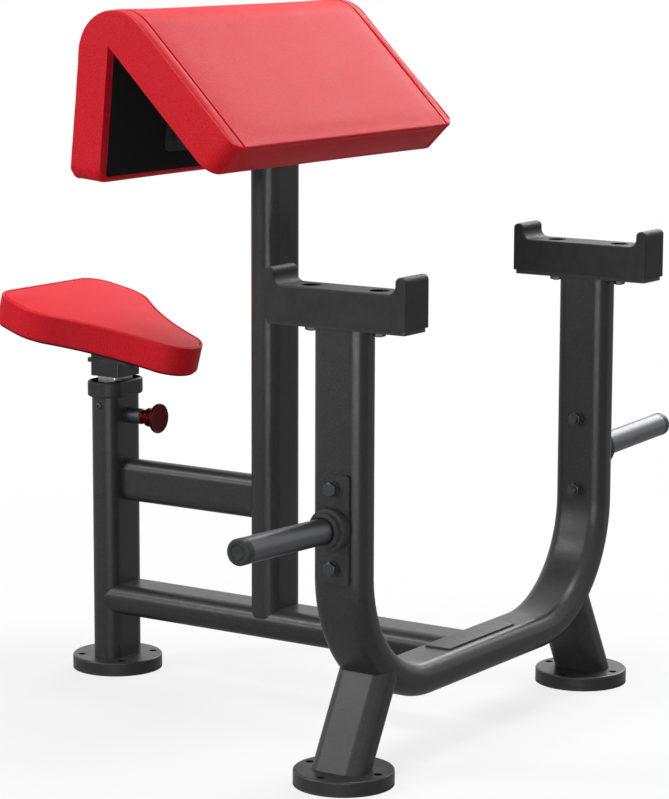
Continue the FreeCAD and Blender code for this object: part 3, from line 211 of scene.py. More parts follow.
given = sockets(bent_tube, "Bend Radius", "Tube Narrow", "Tube Wide", "Corner Radius")
line = add(bent_tube, "GeometryNodeMeshToCurve", {0: given["Geometry"]})
bends = add(bent_tube, "GeometryNodeFilletCurve", {"Curve": line.outputs[0], "Count": 48,
                                                  "Radius": given["Bend Radius"]}, mode="POLY")
section = add(bent_tube, "GeometryNodeCurvePrimitiveQuadrilateral", {"Width": given["Tube Narrow"],
                                                                    "Height": given["Tube Wide"]})
oval = add(bent_tube, "GeometryNodeFilletCurve", {"Curve": section.outputs[0], "Count": 12,
                                                 "Radius": given["Corner Radius"]}, mode="POLY")
swept = add(bent_tube, "GeometryNodeCurveToMesh", {"Curve": bends.outputs[0], "Profile Curve": oval.outputs[0]})
close_tree(bent_tube, swept.outputs[0], given["Material"])
u_line = bpy.data.meshes.new("u_line")
u_line.from_pydata([(x, U_FRONT, z) for x, z in ((-U_HALF, U_TOP), (-U_HALF, U_BEAM), (U_HALF, U_BEAM),
                                                 (U_HALF, U_TOP))], [(0, 1), (1, 2), (2, 3)], [])
u_mesh = grown("bent_u_frame", u_line, bent_tube,
               {"Bend Radius": 189 * MM, "Tube Narrow": TUBE_NARROW, "Tube Wide": TUBE_WIDE,
                "Corner Radius": 21.3 * MM, "Material": powder_coat}, crisp=40, wall=TUBE_WALL)
fit("bent_u_frame", u_mesh, powder_coat, "frame", "frame_paint", "u_frame")

# Raised plate: a bare strip of steel with softened edges on the middle of the cross beam. It is fixed there before
# the frame is coated, so the same powder covers both.
PLATE_CORNER, PLATE_EDGE = 3 * MM, 0.8 * MM


def skin(build, rings):
    """Adds rings of points, all of one length, and the faces between each ring and the next."""
    rows = [[build.verts.new(point) for point in ring] for ring in rings]
    for near, far in zip(rows, rows[1:]):
        for i in range(len(near)):
            j = (i + 1) % len(near)
            build.faces.new((near[i], near[j], far[j], far[i]))
    return rows


def solid(name, build, crisp=35):
    """Makes a closed bmesh a mesh that points outwards, smooth but for edges sharper than crisp degrees."""
    bmesh.ops.remove_doubles(build, verts=build.verts, dist=1e-6)
    bmesh.ops.recalc_face_normals(build, faces=build.faces)
    mesh = bpy.data.meshes.new(name)
    build.to_mesh(mesh)
    build.free()
    mesh.shade_smooth()
    mesh.set_sharp_from_angle(angle=math.radians(crisp))
    return mesh


def round_rectangle(wide, long, corner, steps=8):
    """Points and outward directions round a rectangle with round corners."""
    rows = []
    for turn, (sx, sy) in enumerate(((1, 1), (-1, 1), (-1, -1), (1, -1))):
        for angle in np.linspace(turn * math.pi / 2, (turn + 1) * math.pi / 2, steps):
            out = (math.cos(angle), math.sin(angle))
            rows.append((sx * (wide / 2 - corner) + corner * out[0],
                         sy * (long / 2 - corner) + corner * out[1], *out))
    return np.array(rows)


low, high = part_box("cross_plate")
outline = round_rectangle(high.x - low.x, high.y - low.y, PLATE_CORNER)
levels = [(0, low.z)] + [(-PLATE_EDGE * (1 - math.cos(a)), high.z - PLATE_EDGE * (1 - math.sin(a)))
                         for a in np.linspace(0, math.pi / 2, 5)]
centre = (low + high) / 2
build = bmesh.new()
rows = skin(build, [[(centre.x + x + nx * grow, centre.y + y + ny * grow, z) for x, y, nx, ny in outline]
                    for grow, z in levels])
build.faces.new(rows[0])
build.faces.new(rows[-1])
fit("bare_plate", solid("bare_plate", build, crisp=30), powder_coat, "frame", "frame_paint", "cross_plate")

# Guide of the seat post: a moulded collar pressed over the top of the upright, with a nylon bush inside the tube
# that a button-head socket screw holds from each side.
GUIDE_Y, SCREW_Z, SCREW_FACE = 328.3 * MM, 451 * MM, TUBE_WIDE / 2
HEAD_R, HEAD_TALL, HEAD_FLAT, DOME_FROM = 6.2 * MM, 3.4 * MM, 3.2 * MM, 0.2
KEY, KEY_DEEP, SHANK_R, SHANK_IN = 2.1 * MM, 2 * MM, 3 * MM, 10 * MM

# Moulded ABS with a spark-eroded texture: dark grey-black, satin, with a fine even grain drawn at 1.2 mm.
MOULD_GRAIN = 1.2 * MM
moulded_plastic, tree, shader, at = surface("moulded_black_abs", {"IOR": 1.53, "Specular IOR Level": 0.18})
grain = add(tree, "ShaderNodeTexNoise", {"Vector": at, "Scale": 1 / MOULD_GRAIN, "Detail": 1.0}).outputs["Fac"]
patterned(tree, shader, tone=(grain, "#202021", "#444546"), roughness=(grain, 0.34, 0.5),
          relief=(grain, 0.3, 0.15 * MM))

# Cast nylon in its natural colour: a waxy off-white with slow, cloudy changes.
NYLON_CLOUD = 9 * MM
nylon, tree, shader, at = surface("cast_natural_nylon", {"IOR": 1.53, "Roughness": 0.45})
cloud = add(tree, "ShaderNodeTexNoise", {"Vector": at, "Scale": 1 / NYLON_CLOUD, "Detail": 2.0}).outputs["Fac"]
patterned(tree, shader, tone=(cloud, "#D2CFC6", "#DEDBD2"))

# Black-oxided steel: a dry blue-black skin with the sheen of the turned metal under it.
OXIDE_PATCH = 3 * MM
black_steel, tree, shader, at = surface("black_oxided_steel", {"Metallic": 0.6})
cloud = add(tree, "ShaderNodeTexNoise", {"Vector": at, "Scale": 1 / OXIDE_PATCH, "Detail": 3.0}).outputs["Fac"]
patterned(tree, shader, tone=(cloud, "#2A2B2D", "#4E4F52"), roughness=(cloud, 0.35, 0.5))


def eased(outline, radius, steps=6, most=0.49):
    """An outline of (along, radius) pairs with its inner corners rounded, each over at most a share of its edges."""
    points = [Vector(spot) for spot in outline]
    made = [points[0]]
    for before, corner, after in zip(points, points[1:], points[2:]):
        back, on = before - corner, after - corner
        reach = min(radius, back.length * most, on.length * most)
        start, stop = corner + back.normalized() * reach, corner + on.normalized() * reach
        for t in np.linspace(0, 1, steps):
            made.append(start.lerp(corner, t).lerp(corner.lerp(stop, t), t))
    return [tuple(spot) for spot in made + [points[-1]]]


def turned(build, outline, origin, axis, sides=96, flats=()):
    """Adds a turned form: (along, radius) pairs round an axis, with the rings numbered in flats as hexagons."""
    turn = Vector((0, 0, 1)).rotation_difference(Vector(axis)).to_matrix()
    rings = []
    for number, (along, radius) in enumerate(outline):
        ring = []
        for i in range(sides):
            angle = 2 * math.pi * i / sides
            reach = radius
            if number in flats:
                reach /= math.cos((angle % (math.pi / 3)) - math.pi / 6)
            spot = Vector((reach * math.cos(angle), reach * math.sin(angle), along))
            ring.append(Vector(origin) + turn @ spot)
        rings.append(ring)
    skin(build, rings)


dress(moulded_plastic, "post_collar")
dress(nylon, "guide_bush")
button = [(-SHANK_IN, 0), (-SHANK_IN, SHANK_R), (0, SHANK_R), (0, HEAD_R)]
button += [(HEAD_TALL * math.sin(a), HEAD_FLAT + (HEAD_R - HEAD_FLAT) * math.cos(a))
           for a in np.linspace(DOME_FROM, math.pi / 2, 8)]
socket_ring = len(button)
button += [(HEAD_TALL, KEY), (HEAD_TALL - KEY_DEEP, KEY), (HEAD_TALL - KEY_DEEP, 0)]
build = bmesh.new()
for side in (-1, 1):
    turned(build, button, (side * SCREW_FACE, GUIDE_Y, SCREW_Z), (side, 0, 0), sides=48,
           flats=(socket_ring, socket_ring + 1))
fit("guide_screws", solid("guide_screws", build), black_steel, "frame", "black_steel", "bush_screws")

# Spring pin: a barrel welded to the front of the upright, a plunger with a coil spring in it, and a pull knob
# turned from red anodised aluminium on the plunger's end.
PIN_Z, PIN_FACE = 432.5 * MM, 302.9 * MM
SPRING_TURNS, SPRING_FROM, BARREL_END, SPRING_PRESSED = 5.0, 299.4 * MM, 273.9 * MM, 0.62
KNOB_EASE = 1.1 * MM

# Stainless steel brushed to a satin finish: fine lines run round the line of the pegs, as the belt left them, and
# spread the light along it. Their pitch of about 0.1 mm is drawn at 0.6 mm.
BELT_PITCH, BELT_LONG = 0.6 * MM, 20 * MM
stainless, tree, shader, at = surface("brushed_stainless_tube", {"Metallic": 1.0})
stretch = add(tree, "ShaderNodeMapping", {"Vector": at, "Scale": (1 / BELT_PITCH, 1 / BELT_LONG, 1 / BELT_LONG)})
belt = add(tree, "ShaderNodeTexNoise", {"Vector": stretch.outputs[0], "Scale": 1.0, "Detail": 2.0}).outputs["Fac"]
patterned(tree, shader, tone=(belt, "#505154", "#68696D"), roughness=(belt, 0.34, 0.46),
          relief=(belt, 0.15, 0.05 * MM), span=NOISE_SPAN)

# Bright zinc plate with a clear passivate: silver with a slightly blue, cloudy bloom.
ZINC_BLOOM = 7 * MM
bright_zinc, tree, shader, at = surface("bright_zinc_plated_steel", {"Metallic": 1.0})
cloud = add(tree, "ShaderNodeTexNoise", {"Vector": at, "Scale": 1 / ZINC_BLOOM, "Detail": 4.0}).outputs["Fac"]
patterned(tree, shader, tone=(cloud, "#9B9EA3", "#C6C8CA"), roughness=(cloud, 0.25, 0.42))

dress(black_steel, "pin_barrel")
dress(stainless, "pin_plunger")
SPRING = {"Coil Radius": 6.5 * MM, "Free Length": 24.3 * MM, "Wire Radius": 0.9 * MM, "Material": bright_zinc}
coil_spring = bpy.data.node_groups.new("coil_spring", "GeometryNodeTree")
given = sockets(coil_spring, "Coil Radius", "Free Length", "Wire Radius")
coil = add(coil_spring, "GeometryNodeCurveSpiral", {"Resolution": 32, "Rotations": SPRING_TURNS,
                                                    "Start Radius": given["Coil Radius"],
                                                    "End Radius": given["Coil Radius"],
                                                    "Height": given["Free Length"]})
wire = add(coil_spring, "GeometryNodeCurvePrimitiveCircle", {"Resolution": 16, "Radius": given["Wire Radius"]})
swept = add(coil_spring, "GeometryNodeCurveToMesh", {"Curve": coil.outputs[0], "Profile Curve": wire.outputs[0],
                                                     "Fill Caps": True})
forward = add(coil_spring, "GeometryNodeTransform", {"Geometry": swept.outputs[0], "Rotation": (math.pi / 2, 0, 0),
                                                     "Translation": (0, SPRING_FROM, PIN_Z)})
close_tree(coil_spring, forward.outputs[0], given["Material"])
spring = grown("pin_coil_spring", bpy.data.meshes.new("coil"), coil_spring, SPRING, crisp=30)
spring = fit("pin_coil_spring", spring, bright_zinc, "frame", "zinc", "pin_spring")
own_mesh(spring)

# Turned and anodised aluminium: clear deep red over metal, with fine rings left by the tool round the pin's
# axis. Their pitch of about 0.2 mm is drawn at 5.7 mm, so that it shows. A wave repeats every pi / 10.
TOOL_PITCH = 5.655 * MM
red_anodised, tree, shader, at = surface("red_anodised_aluminium", {"Metallic": 1.0, "Roughness": 0.3})
centred = add(tree, "ShaderNodeMapping", {"Vector": at, "Location": (0, 0, -PIN_Z), "Scale": (1, 0, 1)})
rings = add(tree, "ShaderNodeTexWave", {"Vector": centred.outputs[0], "Scale": math.pi / 10 / TOOL_PITCH},
            wave_type="RINGS", rings_direction="SPHERICAL").outputs["Fac"]
patterned(tree, shader, tone=(rings, "#44070B", "#50090D"), relief=(rings, 0.2, 0.05 * MM))
# The knob's outline from the upright's face, as the lathe follows it: (along, radius) in millimetres.
knob = [(33.4, 4), (33.4, 11.6), (38.4, 11.6), (39.6, 10), (41.4, 10), (43, 15.6), (47.2, 15.8), (49.4, 12.8),
        (54, 13.6), (58.6, 17.5), (61.2, 23.6), (63, 24.9), (65.8, 24.9), (67, 23.4), (66.2, 22.4), (66.1, 0)]
knob = [(along * MM, radius * MM) for along, radius in knob]
build = bmesh.new()
turned(build, [(knob[0][0], 0)] + eased(knob, KNOB_EASE, steps=5), (0, PIN_FACE, PIN_Z), (0, -1, 0))
fit("pull_knob", solid("pull_knob", build, crisp=50), red_anodised, "pin", "red_anodised", "pin_knob")

# Seat post: a bright zinc-plated tube in the guide, plugged at its foot. A bracket welded on its top carries the
# tilted seat plate, and four hexagon screws hold the seat's board to that.
dress(bright_zinc, "seat_post")
dress(moulded_plastic, "seat_post_plug")
dress(powder_coat, "seat_bracket", "seat_plate")
SEAT_Z, SEAT_TILT = 549.5 * MM, math.radians(14.7)
SEAT_PLACE = Matrix.Translation((0, GUIDE_Y, SEAT_Z)) @ Matrix.Rotation(SEAT_TILT, 4, "X")
SEAT_PLATE, BOARD, TIP_SHORT = 5 * MM, 12 * MM, 1 * MM
SEAT_BOLT_X, SEAT_BOLT_Y = 46 * MM, 62 * MM
M8 = {"Across Flats": 13 * MM, "Head Height": 5.3 * MM, "Shank Diameter": 8 * MM, "Thread Pitch": 1.25 * MM,
      "Thread Length": 8 * MM}
hex_screws = bpy.data.node_groups.new("hexagon_screws", "GeometryNodeTree")


def lifted(tree, geometry, height):
    """Geometry moved along its own Z inside a tree."""
    way = add(tree, "ShaderNodeCombineXYZ", {"Z": height})
    return add(tree, "GeometryNodeTransform", {"Geometry": geometry, "Translation": way.outputs[0]}).outputs[0]


def set_out(tree, points, piece):
    """Stands a piece on every point, with its Z along the point's way out and its X towards the point's corner."""
    out, corner = [add(tree, "GeometryNodeInputNamedAttribute", {"Name": name},
                       data_type="FLOAT_VECTOR").outputs["Attribute"] for name in ("out", "corner")]
    stood = add(tree, "FunctionNodeAlignRotationToVector", {"Vector": out}, axis="Z")
    faced = add(tree, "FunctionNodeAlignRotationToVector", {"Rotation": stood.outputs[0], "Vector": corner},
                axis="X", pivot_axis="Z")
    return add(tree, "GeometryNodeInstanceOnPoints", {"Points": points, "Instance": piece,
                                                      "Rotation": faced.outputs[0]}).outputs[0]


def spots(name, rows):
    """A mesh of loose points, each with its way out and the way to a corner of its hexagon."""
    mesh = bpy.data.meshes.new(name)
    mesh.from_pydata([row[0] for row in rows], [], [])
    for number, kind in ((1, "out"), (2, "corner")):
        values = mesh.attributes.new(kind, "FLOAT_VECTOR", "POINT")
        values.data.foreach_set("vector", [part for row in rows for part in row[number]])
    return mesh


# A head is a hexagon bar cut by a wide cone, which leaves the 30 degree chamfer of a forged head on its corners. The
# cone stands past the head at both ends and is as wide as the crown where the head stops.
CROWN_SHARE, CONE_PAST, CONE_SPREAD, RIDGE_SHARE = 0.475, 0.25, math.sqrt(3), 0.35
given = sockets(hex_screws, "Across Flats", "Head Height", "Shank Diameter", "Shank Length", "Thread Length",
                "Thread Pitch")
share = {name: add(hex_screws, "ShaderNodeMath", {0: given[size], 1: times}, operation="MULTIPLY").outputs[0]
         for name, size, times in (
             ("corner", "Across Flats", 0.5 / math.cos(math.pi / 6)), ("crown", "Across Flats", CROWN_SHARE),
             ("middle", "Head Height", 0.5), ("cone", "Head Height", 1 + 2 * CONE_PAST),
             ("sunk", "Head Height", -CONE_PAST), ("shank", "Shank Diameter", 0.5),
             ("half way", "Shank Length", -0.5), ("tip", "Shank Length", -1.0),
             ("ridge", "Thread Pitch", RIDGE_SHARE))}
flare, point = [add(hex_screws, "ShaderNodeMath",
                    {0: given["Head Height"], 1: times * CONE_SPREAD, 2: share["crown"]},
                    operation="MULTIPLY_ADD").outputs[0] for times in (1 + CONE_PAST, -CONE_PAST)]
turns = add(hex_screws, "ShaderNodeMath", {0: given["Thread Length"], 1: given["Thread Pitch"]},
            operation="DIVIDE").outputs[0]
prism = add(hex_screws, "GeometryNodeMeshCylinder", {"Vertices": 6, "Radius": share["corner"],
                                                     "Depth": given["Head Height"]})
cone = add(hex_screws, "GeometryNodeMeshCone", {"Vertices": 48, "Radius Top": point, "Radius Bottom": flare,
                                                "Depth": share["cone"]})
head = add(hex_screws, "GeometryNodeMeshBoolean", operation="INTERSECT", solver="EXACT")
for part, rise in ((prism, "middle"), (cone, "sunk")):
    hex_screws.links.new(lifted(hex_screws, part.outputs[0], share[rise]), head.inputs["Mesh 2"])
shank = add(hex_screws, "GeometryNodeMeshCylinder", {"Vertices": 32, "Radius": share["shank"],
                                                     "Depth": given["Shank Length"]})
shank = lifted(hex_screws, shank.outputs[0], share["half way"])
helix = add(hex_screws, "GeometryNodeCurveSpiral", {"Resolution": 24, "Rotations": turns,
                                                    "Start Radius": share["shank"], "End Radius": share["shank"],
                                                    "Height": given["Thread Length"]})
ridge = add(hex_screws, "GeometryNodeCurvePrimitiveCircle", {"Resolution": 4, "Radius": share["ridge"]})
thread = add(hex_screws, "GeometryNodeCurveToMesh", {"Curve": helix.outputs[0], "Profile Curve": ridge.outputs[0],
                                                     "Fill Caps": True})
thread = lifted(hex_screws, thread.outputs[0], share["tip"])
screw = add(hex_screws, "GeometryNodeJoinGeometry")
for part in (head.outputs["Mesh"], shank, thread):
    hex_screws.links.new(part, screw.inputs[0])
close_tree(hex_screws, set_out(hex_screws, given["Geometry"], screw.outputs[0]), given["Material"])


def in_frame(place, x, y, z, out):
    """A screw's point, way out and corner in the frame of the plate that it holds."""
    turn = place.to_3x3()
    return place @ Vector((x, y, z)), turn @ Vector((0, 0, out)), turn @ Vector((1, 0, 0))


def screwed(name, tree, rows, sizes, body, stands_for):
    """Grows a tree's fasteners on their spots and fits them as one piece of black steel."""
    mesh = grown(name, spots(name + "_spots", rows), tree, {**sizes, "Material": black_steel}, crisp=30)
    fit(name, mesh, black_steel, body, "black_steel", stands_for)


screwed("seat_bolts", hex_screws, [in_frame(SEAT_PLACE, x * SEAT_BOLT_X, y * SEAT_BOLT_Y, -SEAT_PLATE, -1)
                                   for x in (-1, 1) for y in (-1, 1)],
        {**M8, "Shank Length": SEAT_PLATE + BOARD - TIP_SHORT}, "seat", "seat_screws")

# Seat: foam on a black-covered board, in red vinyl sewn with a welt along the top edge, pulled down round the
# board and stapled under it. Its outline is broad at the back and narrows in a waist to a round nose. Its sizes here
# are in millimetres.
CORNER_AT, CORNER_R = np.array((93.0, 118.6)), 48.0
SHOULDER_AT, SHOULDER_R = np.array((72.0, 86.0)), 75.0
NOSE_AT, NOSE_R = np.array((0.0, -106.4)), 54.0
WAIST_R = 400.0
SEAM_IN, SEAM_Z = 4.9, 47.6
TOP_IN, TOP_Z, TOP_CROWN, MIDDLE_REACH = 30.0, 50.8, 0.8, 95.0
CLOTH_VOXEL, CLOTH_FRAMES, CLOTH_NEAR = 5 * MM, 20, 10

# Backing cloth: black non-woven felt glued on board; quite flat black, with a faint fibre mottle of 2 mm.
FELT_FIBRE = 2 * MM
backing, tree, shader, at = surface("black_backing_cloth_on_board", {"Roughness": 0.9, "Specular IOR Level": 0.2})
fibre = add(tree, "ShaderNodeTexNoise", {"Vector": at, "Scale": 1 / FELT_FIBRE, "Detail": 3.0}).outputs["Fac"]
patterned(tree, shader, tone=(fibre, "#0A0A0B", "#1C1C1D"), relief=(fibre, 0.4, 0.2 * MM))

# Upholstery vinyl: calendered PVC embossed with a leather grain. A strong red with a soft, milky shine at a
# slant; the grain's cells of about 1 mm are drawn at 2.2 mm, and a slow mottle follows the foam.
VINYL_CELL, VINYL_MOTTLE, CREASE_SHARE = 2.2 * MM, 40 * MM, 0.25
vinyl, tree, shader, at = surface("red_embossed_vinyl", {"IOR": 1.5, "Specular IOR Level": 0.17})
cells = add(tree, "ShaderNodeTexVoronoi", {"Vector": at, "Scale": 1 / VINYL_CELL, "Randomness": 0.9},
            feature="DISTANCE_TO_EDGE")
shaded_creases_and_height = add(tree, "ShaderNodeMapRange", {"Value": cells.outputs["Distance"], "From Max": CREASE_SHARE}).outputs[0]
mottle = add(tree, "ShaderNodeTexNoise", {"Vector": at, "Scale": 1 / VINYL_MOTTLE, "Detail": 2.0}).outputs["Fac"]
# The colour is painted darker in the creases between the grain's cells than on their raised tops, as painted shade;
# the same pattern raises the bumps.
patterned(tree, shader, tone=(shaded_creases_and_height, "#C20D1C", "#EA1A2B"), roughness=(mottle, 0.49, 0.53),
          relief=(shaded_creases_and_height, 0.7, 0.25 * MM), span=NOISE_SPAN)
dress(backing, "seat_board")


def arc(centre, radius, start, stop, count, hollow=False):
    """Points along an arc and their outward directions, up to just before its end."""
    way = [(math.cos(a), math.sin(a)) for a in np.linspace(start, stop, count, endpoint=False)]
    return [(*(centre + radius * np.array(d)), *((-1 if hollow else 1) * np.array(d))) for d in way]


def bearing(a, b):
    """The angle of the way from one place to another."""
    return math.atan2(*(b - a)[::-1])


def lookup(points):
    """A search tree over points."""
    made = KDTree(len(points))
    for number, spot in enumerate(points):
        made.insert(spot, number)
    made.balance()
    return made


def filled(mesh, anchors, reach, cap):
    """Swells a sewn cover over its foam as cloth under pressure, held near its anchors; moves the mesh up to cap."""
    scene = bpy.context.scene
    cover = bpy.data.objects.new("cover", mesh.copy())
    scene.collection.objects.link(cover)
    even = cover.modifiers.new("even", "REMESH")
    even.mode, even.voxel_size = "VOXEL", CLOTH_VOXEL
    bpy.context.view_layer.update()
    cloth_mesh = bpy.data.meshes.new_from_object(cover.evaluated_get(bpy.context.evaluated_depsgraph_get()))
    cover.modifiers.clear()
    cover.data = cloth_mesh
    start = np.array([v.co for v in cloth_mesh.vertices])
    sewn = lookup(anchors)
    pinned = [i for i, spot in enumerate(start) if sewn.find(spot)[2] < reach]
    cover.vertex_groups.new(name="held").add(pinned, 1.0, "REPLACE")
    cloth = cover.modifiers.new("cover", "CLOTH")
    cloth.settings.quality = 6
    cloth.settings.mass = 0.3
    cloth.settings.use_pressure = True
    cloth.settings.uniform_pressure_force = 4.0
    cloth.settings.vertex_group_mass = "held"
    cloth.settings.effector_weights.gravity = 0.0
    cloth.point_cache.frame_start, cloth.point_cache.frame_end = 1, CLOTH_FRAMES
    for number in range(1, CLOTH_FRAMES + 1):
        scene.frame_set(number)
    blown = bpy.data.meshes.new_from_object(cover.evaluated_get(bpy.context.evaluated_depsgraph_get()))
    moved = np.array([v.co for v in blown.vertices]) - start
    far = np.linalg.norm(moved, axis=1, keepdims=True)
    moved *= np.minimum(1, cap / np.maximum(far, 1e-9))
    bpy.data.objects.remove(cover)
    scene.frame_set(1)
    near = lookup(start)
    for v in mesh.vertices:
        found = near.find_n(v.co, CLOTH_NEAR)
        share = np.array([1 / (gap + 0.5 * CLOTH_VOXEL) ** 2 for _, _, gap in found])
        way = (moved[[i for _, i, _ in found]] * share[:, None]).sum(0) / share.sum()
        v.co += Vector(way)
    mesh.update()


to_corner = CORNER_AT - SHOULDER_AT
lean = math.atan2(-to_corner[0], to_corner[1]) + math.asin((SHOULDER_R - CORNER_R) / np.linalg.norm(to_corner))
down_axis = NOSE_AT - SHOULDER_AT
span = np.linalg.norm(down_axis)
near_r, far_r = SHOULDER_R + WAIST_R, NOSE_R + WAIST_R
along = (near_r ** 2 - far_r ** 2 + span ** 2) / (2 * span)
aside = math.sqrt(near_r ** 2 - along ** 2)
unit = down_axis / span
WAIST_AT = SHOULDER_AT + unit * along + aside * np.array((-unit[1], unit[0]))
half = [(x, CORNER_AT[1] + CORNER_R, 0.0, 1.0) for x in np.linspace(0, CORNER_AT[0], 12, endpoint=False)]
half += arc(CORNER_AT, CORNER_R, math.pi / 2, lean, 18)
half += arc(SHOULDER_AT, SHOULDER_R, lean, bearing(SHOULDER_AT, WAIST_AT), 26)
half += arc(WAIST_AT, WAIST_R, bearing(WAIST_AT, SHOULDER_AT), bearing(WAIST_AT, NOSE_AT) % (2 * math.pi), 22,
            hollow=True)
half += arc(NOSE_AT, NOSE_R, bearing(NOSE_AT, WAIST_AT), -math.pi / 2, 26)
half += [(0.0, NOSE_AT[1] - NOSE_R, 0.0, -1.0)]
seat_line = np.array(half + [(-x, y, -nx, ny) for x, y, nx, ny in half[-2:0:-1]])


def seat_ring(grow, z, share=0.0):
    """A ring of the seat: its outline grown or shrunk, then drawn in by a share towards its middle line."""
    flat = seat_line[:, :2] + seat_line[:, 2:] * grow
    middle = np.column_stack([np.zeros(len(flat)), np.clip(flat[:, 1], -MIDDLE_REACH, MIDDLE_REACH)])
    flat = flat * (1 - share) + middle * share
    return np.column_stack([flat, np.full(len(flat), z)]) * MM


# Rings of the cover from the board round its lower edge, up the side and over the welt and its seam to the middle of
# the top: the outline's growth and its height in millimetres, and the share drawn in.
under = [(-30, 12.6, t) for t in (1, 0.7, 0.35, 0)] + [(-12, 12.6), (-4.6, 12.6), (-4.3, 12), (-4.2, 4.4)]
side = [(-3.5, 3.3), (-2, 3), (-0.8, 3.7), (-0.2, 5.2)] + [(0, z) for z in (8, 14, 20, 26, 32, 38, 42, 44.5)]
welt = [(0.1, 45.6), (0.1, 46.6), (-0.2, 47.8), (-0.9, 48.8), (-1.9, 49.3), (-2.9, 49.2), (-3.7, 48.6), (-4.2, 47.6),
        (-SEAM_IN, SEAM_Z - 0.9), (-5.5, 47.5), (-6.1, 48.5), (-7.0, 49.1), (-8.2, 49.4)]
top = [(-10, 49.6), (-15, 50.1), (-22, 50.5), (-TOP_IN, TOP_Z)]
top += [(-TOP_IN, TOP_Z + TOP_CROWN * t, t) for t in (0.12, 0.24, 0.36, 0.48, 0.6, 0.72, 0.84, 0.93, 1)]
build = bmesh.new()
skin(build, [seat_ring(*row) for row in under + side + welt + top])
seat_mesh = solid("seat_cover", build, crisp=60)
seat_anchors = np.concatenate([seat_ring(*row) for row in under + [(-SEAM_IN, SEAM_Z), (-2, 47), (-1, 5)]])
filled(seat_mesh, seat_anchors, reach=6 * MM, cap=3.5 * MM)
seat_mesh.transform(SEAT_PLACE)
fit("seat_cover", seat_mesh, vinyl, "seat", "red_vinyl", "seat_cushion")

# Arm pad's steel: a plate welded on the sloping top of the post, with four screws into the front board, and a
# strut behind the post whose strip holds the rear board with two.
dress(powder_coat, "pad_plate", "pad_strut", "pad_strip")
RIDGE = Vector((0, 94.6 * MM, 1060 * MM))
SLOPE, LEAN = math.radians(45), math.radians(5.3)
PAD_PLATE, PLATE_MID, STRIP_DOWN = 6 * MM, 127 * MM, 149 * MM
PLATE_BOLT_X, PLATE_BOLT_Y, STRIP_BOLT_X = 88 * MM, 54 * MM, 129 * MM
SLOPE_PLACE = Matrix.Translation(RIDGE) @ Matrix.Rotation(SLOPE, 4, "X")
BACK_PLACE = Matrix.Translation(RIDGE) @ Matrix.Rotation(math.pi / 2 + LEAN, 4, "X")
pad_grip = {**M8, "Shank Length": PAD_PLATE + BOARD - TIP_SHORT}
screwed("plate_bolts", hex_screws,
        [in_frame(SLOPE_PLACE, x * PLATE_BOLT_X, y * PLATE_BOLT_Y - PLATE_MID, -PAD_PLATE, -1)
         for x in (-1, 1) for y in (-1, 1)], pad_grip, "frame", "pad_plate_screws")
screwed("strip_bolts", hex_screws, [in_frame(BACK_PLACE, x * STRIP_BOLT_X, -STRIP_DOWN, PAD_PLATE, 1)
                                    for x in (-1, 1)], pad_grip, "frame", "pad_strip_screws")

# Arm pad: one V of foam over two black-covered boards, in red vinyl with a panel sewn in at each end. The cover
# turns over a soft ridge and is pulled round to the boards' edges and stapled there. Its sizes here are in
# millimetres.
dress(backing, "pad_board_front", "pad_board_rear")
PAD_HALF, PAD_CORNER, END_DROP = 312.0, 24.0, 2.0
WELT, WELT_HIGH, WELT_GAP, WELT_DEEP = 3.0, 1.1, 5.2, 1.0
HEM, CREASE, RIDGE_R = 9.0, 3.0, 65.0
SEAM_X, SEAM_DEEP, SEAM_HALF = 286.0, 3.6, 2.8
PAD_CROWN, CROWN_FALL, DROP_POWER, SEAM_POWER = 3.4, 0.1, 1.4, 0.7
BOARD_SIDE, BOARD_DEEP, BOARD_GAP, BOARD_START = 295.2, 12.1, 9.8, 3
TRIM_FROM, TRIM_LONG = 70, 60
HEM_STEPS, SIDE_STEPS, CREASE_STEPS, RIDGE_STEPS, FRONT_STEPS, BACK_STEPS = 8, 10, 9, 30, 44, 36
CREASE_FROM, CREASE_TO = 20, 26
PLAIN_X, PLAIN_STEPS = 280, 16
front_way = np.array([[-math.cos(SLOPE), -math.sin(SLOPE)], [-math.sin(SLOPE), math.cos(SLOPE)]])
back_way = np.array([[math.sin(LEAN), -math.cos(LEAN)], [math.cos(LEAN), math.sin(LEAN)]])
FRONT_LONG, FRONT_THICK, BACK_LONG, BACK_THICK = 267.5, 61.5, 210.5, 55.5
ridge_at = np.linalg.solve(np.array([front_way[1], back_way[1]]),
                           np.array([FRONT_THICK - RIDGE_R, BACK_THICK - RIDGE_R]))


def near_end(down, long):
    """The share of the corner's trim at a place on a face: all of it at the end, none further up."""
    return min(1, max(0, (down - long + TRIM_FROM) / TRIM_LONG))


